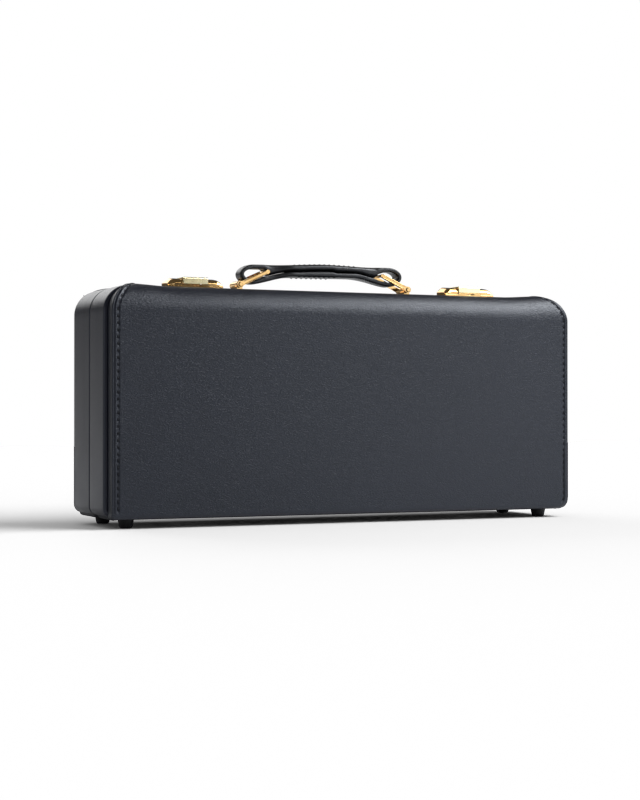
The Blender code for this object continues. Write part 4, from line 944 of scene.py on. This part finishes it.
def buildGrip():
    look = gripLook
    shape = bmesh.new()
    rows = []
    for station in gripLoop():
        x, z = station["place"]
        z += look["tilt"] * x
        inX, inZ = station["inward"]
        row = []
        for across, depth in gripSection(gripHalfWidth(x), station["thickness"], station["round"]):
            row.append((x + inX * depth, look["y"] + across, z + inZ * depth))
        rows.append(row)
    verts = addGrid(shape, rows, closed=True)
    first, last = verts[0], verts[-1]
    for k in range(len(first)):
        after = (k + 1) % len(first)
        shape.faces.new((last[k], last[after], first[after], first[k]))
    grip = makePiece("gripStraps", shape, "handleLeather", "grip", ["handle_grip"])
    smooth = grip.modifiers.new("smooth", "SUBSURF")
    smooth.levels = smooth.render_levels = 1


def buildGripStitching():
    # raised stitches along both edges of the roll's top and of the underside
    look, shape = gripStitchLook, bmesh.new()
    for line in look["rows"]:
        start, end = line["span"]
        count = int((end - start) / look["pitch"])
        for k in range(count):
            for side in (-1, 1):
                points = []
                for step in range(7):
                    share = step / 6
                    x = start + look["pitch"] * k + look["length"] * share
                    lower, upper, apart = gripStrands(x)
                    level = upper[0] if line["upward"] > 0 else lower[0]
                    y = gripLook["y"] + side * (gripHalfWidth(x) - line["inset"])
                    z = caseForm["top"] + level + gripLook["tilt"] * x
                    z += line["upward"] * (look["arch"] * math.sin(math.pi * share) - line["sunk"])
                    points.append(Vector((x, y, z)))
                addThread(shape, points, look["thread"])
    makePiece("gripStitching", shape, "waxedThread", "grip")


buildGrip()
buildGripStitching()
print("grip built")


# rings: beads along both edges of the flat arms leave a groove between them
ringLook = {"pivotX": 0.0746, "pivotZ": 0.1882, "y": 0.011, "armY": 0.00825, "armHalf": 0.0009,
            "width": 0.0030, "length": 0.026, "angle": 24.6, "bead": 0.00042, "beadIn": 0.7,
            "from": 0.0034, "past": 0.0004, "steps": 12}


def buildRingBeads():
    look = ringLook
    turn = math.radians(look["angle"])
    for label, sign in sides:
        shape = bmesh.new()
        along = Vector((-sign * math.cos(turn), 0, math.sin(turn)))
        across = Vector((sign * math.sin(turn), 0, math.cos(turn)))
        pivot = Vector((sign * look["pivotX"], look["y"], look["pivotZ"]))
        for armSide in (-1, 1):
            face = Vector((0, armSide * (look["armY"] + look["armHalf"]), 0))
            for edge in (-1, 1):
                offset = across * edge * (look["width"] / 2 - look["bead"] * look["beadIn"])
                start = pivot + face + offset + along * look["from"]
                end = pivot + face + offset + along * (look["length"] + look["past"])
                points = [start.lerp(end, k / look["steps"]) for k in range(look["steps"] + 1)]
                addThread(shape, points, look["bead"])
        makePiece("ringBeads_" + label, shape, "goldPlate", "ring_" + label)


buildRingBeads()
print("ring beads built")


# strike: foot strip with a slot, under a housing whose front is rounded and whose ends slope
strikeLook = {"x": 0.1205, "half": 0.0225, "topHalf": 0.0180, "channel": 0.0104, "y": (-0.0200, -0.0044),
              "z": 0.1823, "slotHalf": 0.0044, "slot": (0.0012, 0.0022), "slotDepth": 0.0026,
              "profile": ((-0.0200, 0.0), (-0.0200, 0.0015), (-0.0197, 0.0018), (-0.0191, 0.0018),
                          (-0.0190, 0.0023), (-0.0192, 0.0032), (-0.0189, 0.0043), (-0.0182, 0.0054),
                          (-0.0171, 0.0063), (-0.0155, 0.0069), (-0.0130, 0.0073), (-0.0100, 0.0077),
                          (-0.0070, 0.0080), (-0.0050, 0.0081), (-0.0044, 0.0076), (-0.0044, 0.0)),
              "floor": 0.0030, "edge": 0.00018, "stripTop": 0.0018, "endHeight": 0.36, "slope": 1.35,
              "endShare": 0.94, "steps": 12}


def strikeHeight(distance):
    # share of the full height that the housing has at a distance from its middle
    look = strikeLook
    run = clamp((distance - look["topHalf"]) / (look["half"] - look["topHalf"]))
    return 1 - (1 - look["endHeight"]) * run ** look["slope"]


def buildStrikes():
    look = strikeLook
    for label, sign in sides:
        shape = bmesh.new()
        centre = sign * look["x"]
        for end in (-1, 1):
            rows = []
            near, far = look["channel"], look["half"]
            strip, steps = look["stripTop"], look["steps"]
            for k in range(steps + 1):
                distance = near + (far - near) * k / steps
                share = strikeHeight(distance) * (look["endShare"] if k == steps else 1)
                rows.append([(centre + end * distance, y,
                              look["z"] + min(height, strip) + max(height - strip, 0) * share)
                             for y, height in look["profile"]])
            capEnds(shape, addGrid(shape, rows, closed=True))
        front, back = look["y"]
        low, high, slot = look["z"], look["z"] + look["floor"], look["slotHalf"]
        channel = look["channel"]
        for x0, x1, z0, z1, y0 in ((-channel, -slot, low, high, front), (slot, channel, low, high, front),
                                   (-slot, slot, low, low + look["slot"][0], front),
                                   (-slot, slot, low + look["slot"][1], high, front),
                                   (-slot, slot, low + look["slot"][0], low + look["slot"][1],
                                    front + look["slotDepth"])):
            addBox(shape, (centre + x0, centre + x1), (y0, back), (z0, z1))
        strike = makePiece("strikeHousing_" + label, shape, "goldPlate", "lid",
                           ["strike_" + label])
        bevelled(strike, look["edge"])


buildStrikes()
print("strikes built")


footLook = {"x": 0.180, "lidY": -0.030, "baseY": 0.028, "bore": 0.0034, "boreDepth": 0.0032,
            "inside": 0.0017, "top": 0.0077, "edge": 0.00025,
            "profile": ((0.0061, 0.0077), (0.0061, 0.0070), (0.0058, 0.0056), (0.0055, 0.0040),
                        (0.0052, 0.0024), (0.0049, 0.0012), (0.0045, 0.0004), (0.0040, 0.0))}
hingeScrewLook = {"x": (0.104, 0.118, 0.132), "lidY": -0.0115, "baseY": 0.0075, "z": 0.0065,
                  "head": ((0.0021, 0.0), (0.0021, -0.00015), (0.0016, -0.0004), (0.0009, -0.0005)),
                  "sides": 20, "cross": (0.0011, 0.0002), "crossLevels": (-0.00052, -0.0006)}


def buildFeet():
    look = footLook
    for name, y in (("lid", look["lidY"]), ("base", look["baseY"])):
        for label, sign in sides:
            shape = bmesh.new()
            centre = (sign * look["x"], y)
            profile = [(look["inside"], look["top"])] + list(look["profile"])
            profile += [(look["bore"], 0.0), (look["bore"], look["boreDepth"]),
                        (look["inside"], look["boreDepth"])]
            rings = addLathe(shape, centre, profile)
            count = len(rings[0])
            for k in range(count):
                after = (k + 1) % count
                shape.faces.new((rings[-1][k], rings[-1][after], rings[0][after], rings[0][k]))
            foot = makePiece("%sFootMoulded_%s" % (name, label), shape, "footRubber", name,
                             ["%s_foot_%s" % (name, label)])
            bevelled(foot, look["edge"])


def buildHingeScrews():
    look = hingeScrewLook
    for name, y in (("lid", look["lidY"]), ("base", look["baseY"])):
        shape = bmesh.new()
        for _, sign in sides:
            for x in look["x"]:
                head = [(r, look["z"] + z) for r, z in look["head"]]
                rings = addLathe(shape, (sign * x, y), head, look["sides"])
                capEnds(shape, rings)
                # crossed lines on the head stand for the driver's recess
                long, thin = look["cross"]
                for reachX, reachY in ((long, thin), (thin, long)):
                    addBox(shape, (sign * x - reachX, sign * x + reachX), (y - reachY, y + reachY),
                           [look["z"] + level for level in look["crossLevels"]])
        makePiece(name + "HingeScrews", shape, "nickelSteel", name)


buildFeet()
buildHingeScrews()
print("feet and hinge screws built")


plushLook = {"trayVoxel": 0.0016, "trayRounds": 6, "liningVoxel": 0.0014, "liningRounds": 3}


def softened(node, name, body, voxel, rounds):
    # copy of a solid, remeshed finely and smoothed so that its edges are cushioned
    mesh = nodes[node].data.copy()
    piece = bpy.data.objects.new(name, mesh)
    scene.collection.objects.link(piece)
    remesh = piece.modifiers.new("even", "REMESH")
    remesh.mode = "VOXEL"
    remesh.voxel_size = voxel
    smooth = piece.modifiers.new("soften", "SMOOTH")
    smooth.factor = 0.5
    smooth.iterations = rounds
    graph = bpy.context.evaluated_depsgraph_get()
    final = bpy.data.meshes.new_from_object(piece.evaluated_get(graph))
    piece.modifiers.clear()
    piece.data = final
    final.materials.clear()
    final.materials.append(finishes["plushBlue"])
    final.shade_smooth()
    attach(piece, body)
    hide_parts(node)


softened("base_tray", "plushTray", "base", plushLook["trayVoxel"], plushLook["trayRounds"])
softened("lid_lining", "lidLiningPad", "lid", plushLook["liningVoxel"], plushLook["liningRounds"])
print("tray and lining softened")


nodeFinishes = (
    ("goldPlate", ("latch_base", "latch_pin", "latch_rivet", "handle_ring", "handle_bracket", "ring_pin",
                   "strike_rivet", "bracket_rivet")),
    ("paleGold", ("latch_hasp",)),
    ("nickelSteel", ("latch_spring", "hinge_pin", "lid_hinge", "base_hinge", "lid_foot_screw",
                     "base_foot_screw")),
    ("paintedBoard", ("lid_shell", "base_shell")),
    ("panelLeather", ("lid_bottom_panel", "base_bottom_panel")),
    ("plushBlue", ("base_inner_frame",)),
)
edgeWidths = {"goldPlate": 0.00025, "paleGold": 0.0002, "nickelSteel": 0.0002, "paintedBoard": 0.0006,
              "panelLeather": 0.0006, "plushBlue": 0.0004}

for finish, starts in nodeFinishes:
    for name, node in nodes.items():
        if name.startswith(starts) and not node.hide_render:
            node.data.materials.clear()
            node.data.materials.append(finishes[finish])
            weld = node.modifiers.new("weld", "WELD")
            weld.merge_threshold = 0.00001
            flat = node.modifiers.new("flat", "DECIMATE")
            flat.decimate_type = "DISSOLVE"
            flat.angle_limit = math.radians(1)
            bevelled(node, edgeWidths[finish])
print("node finishes set")
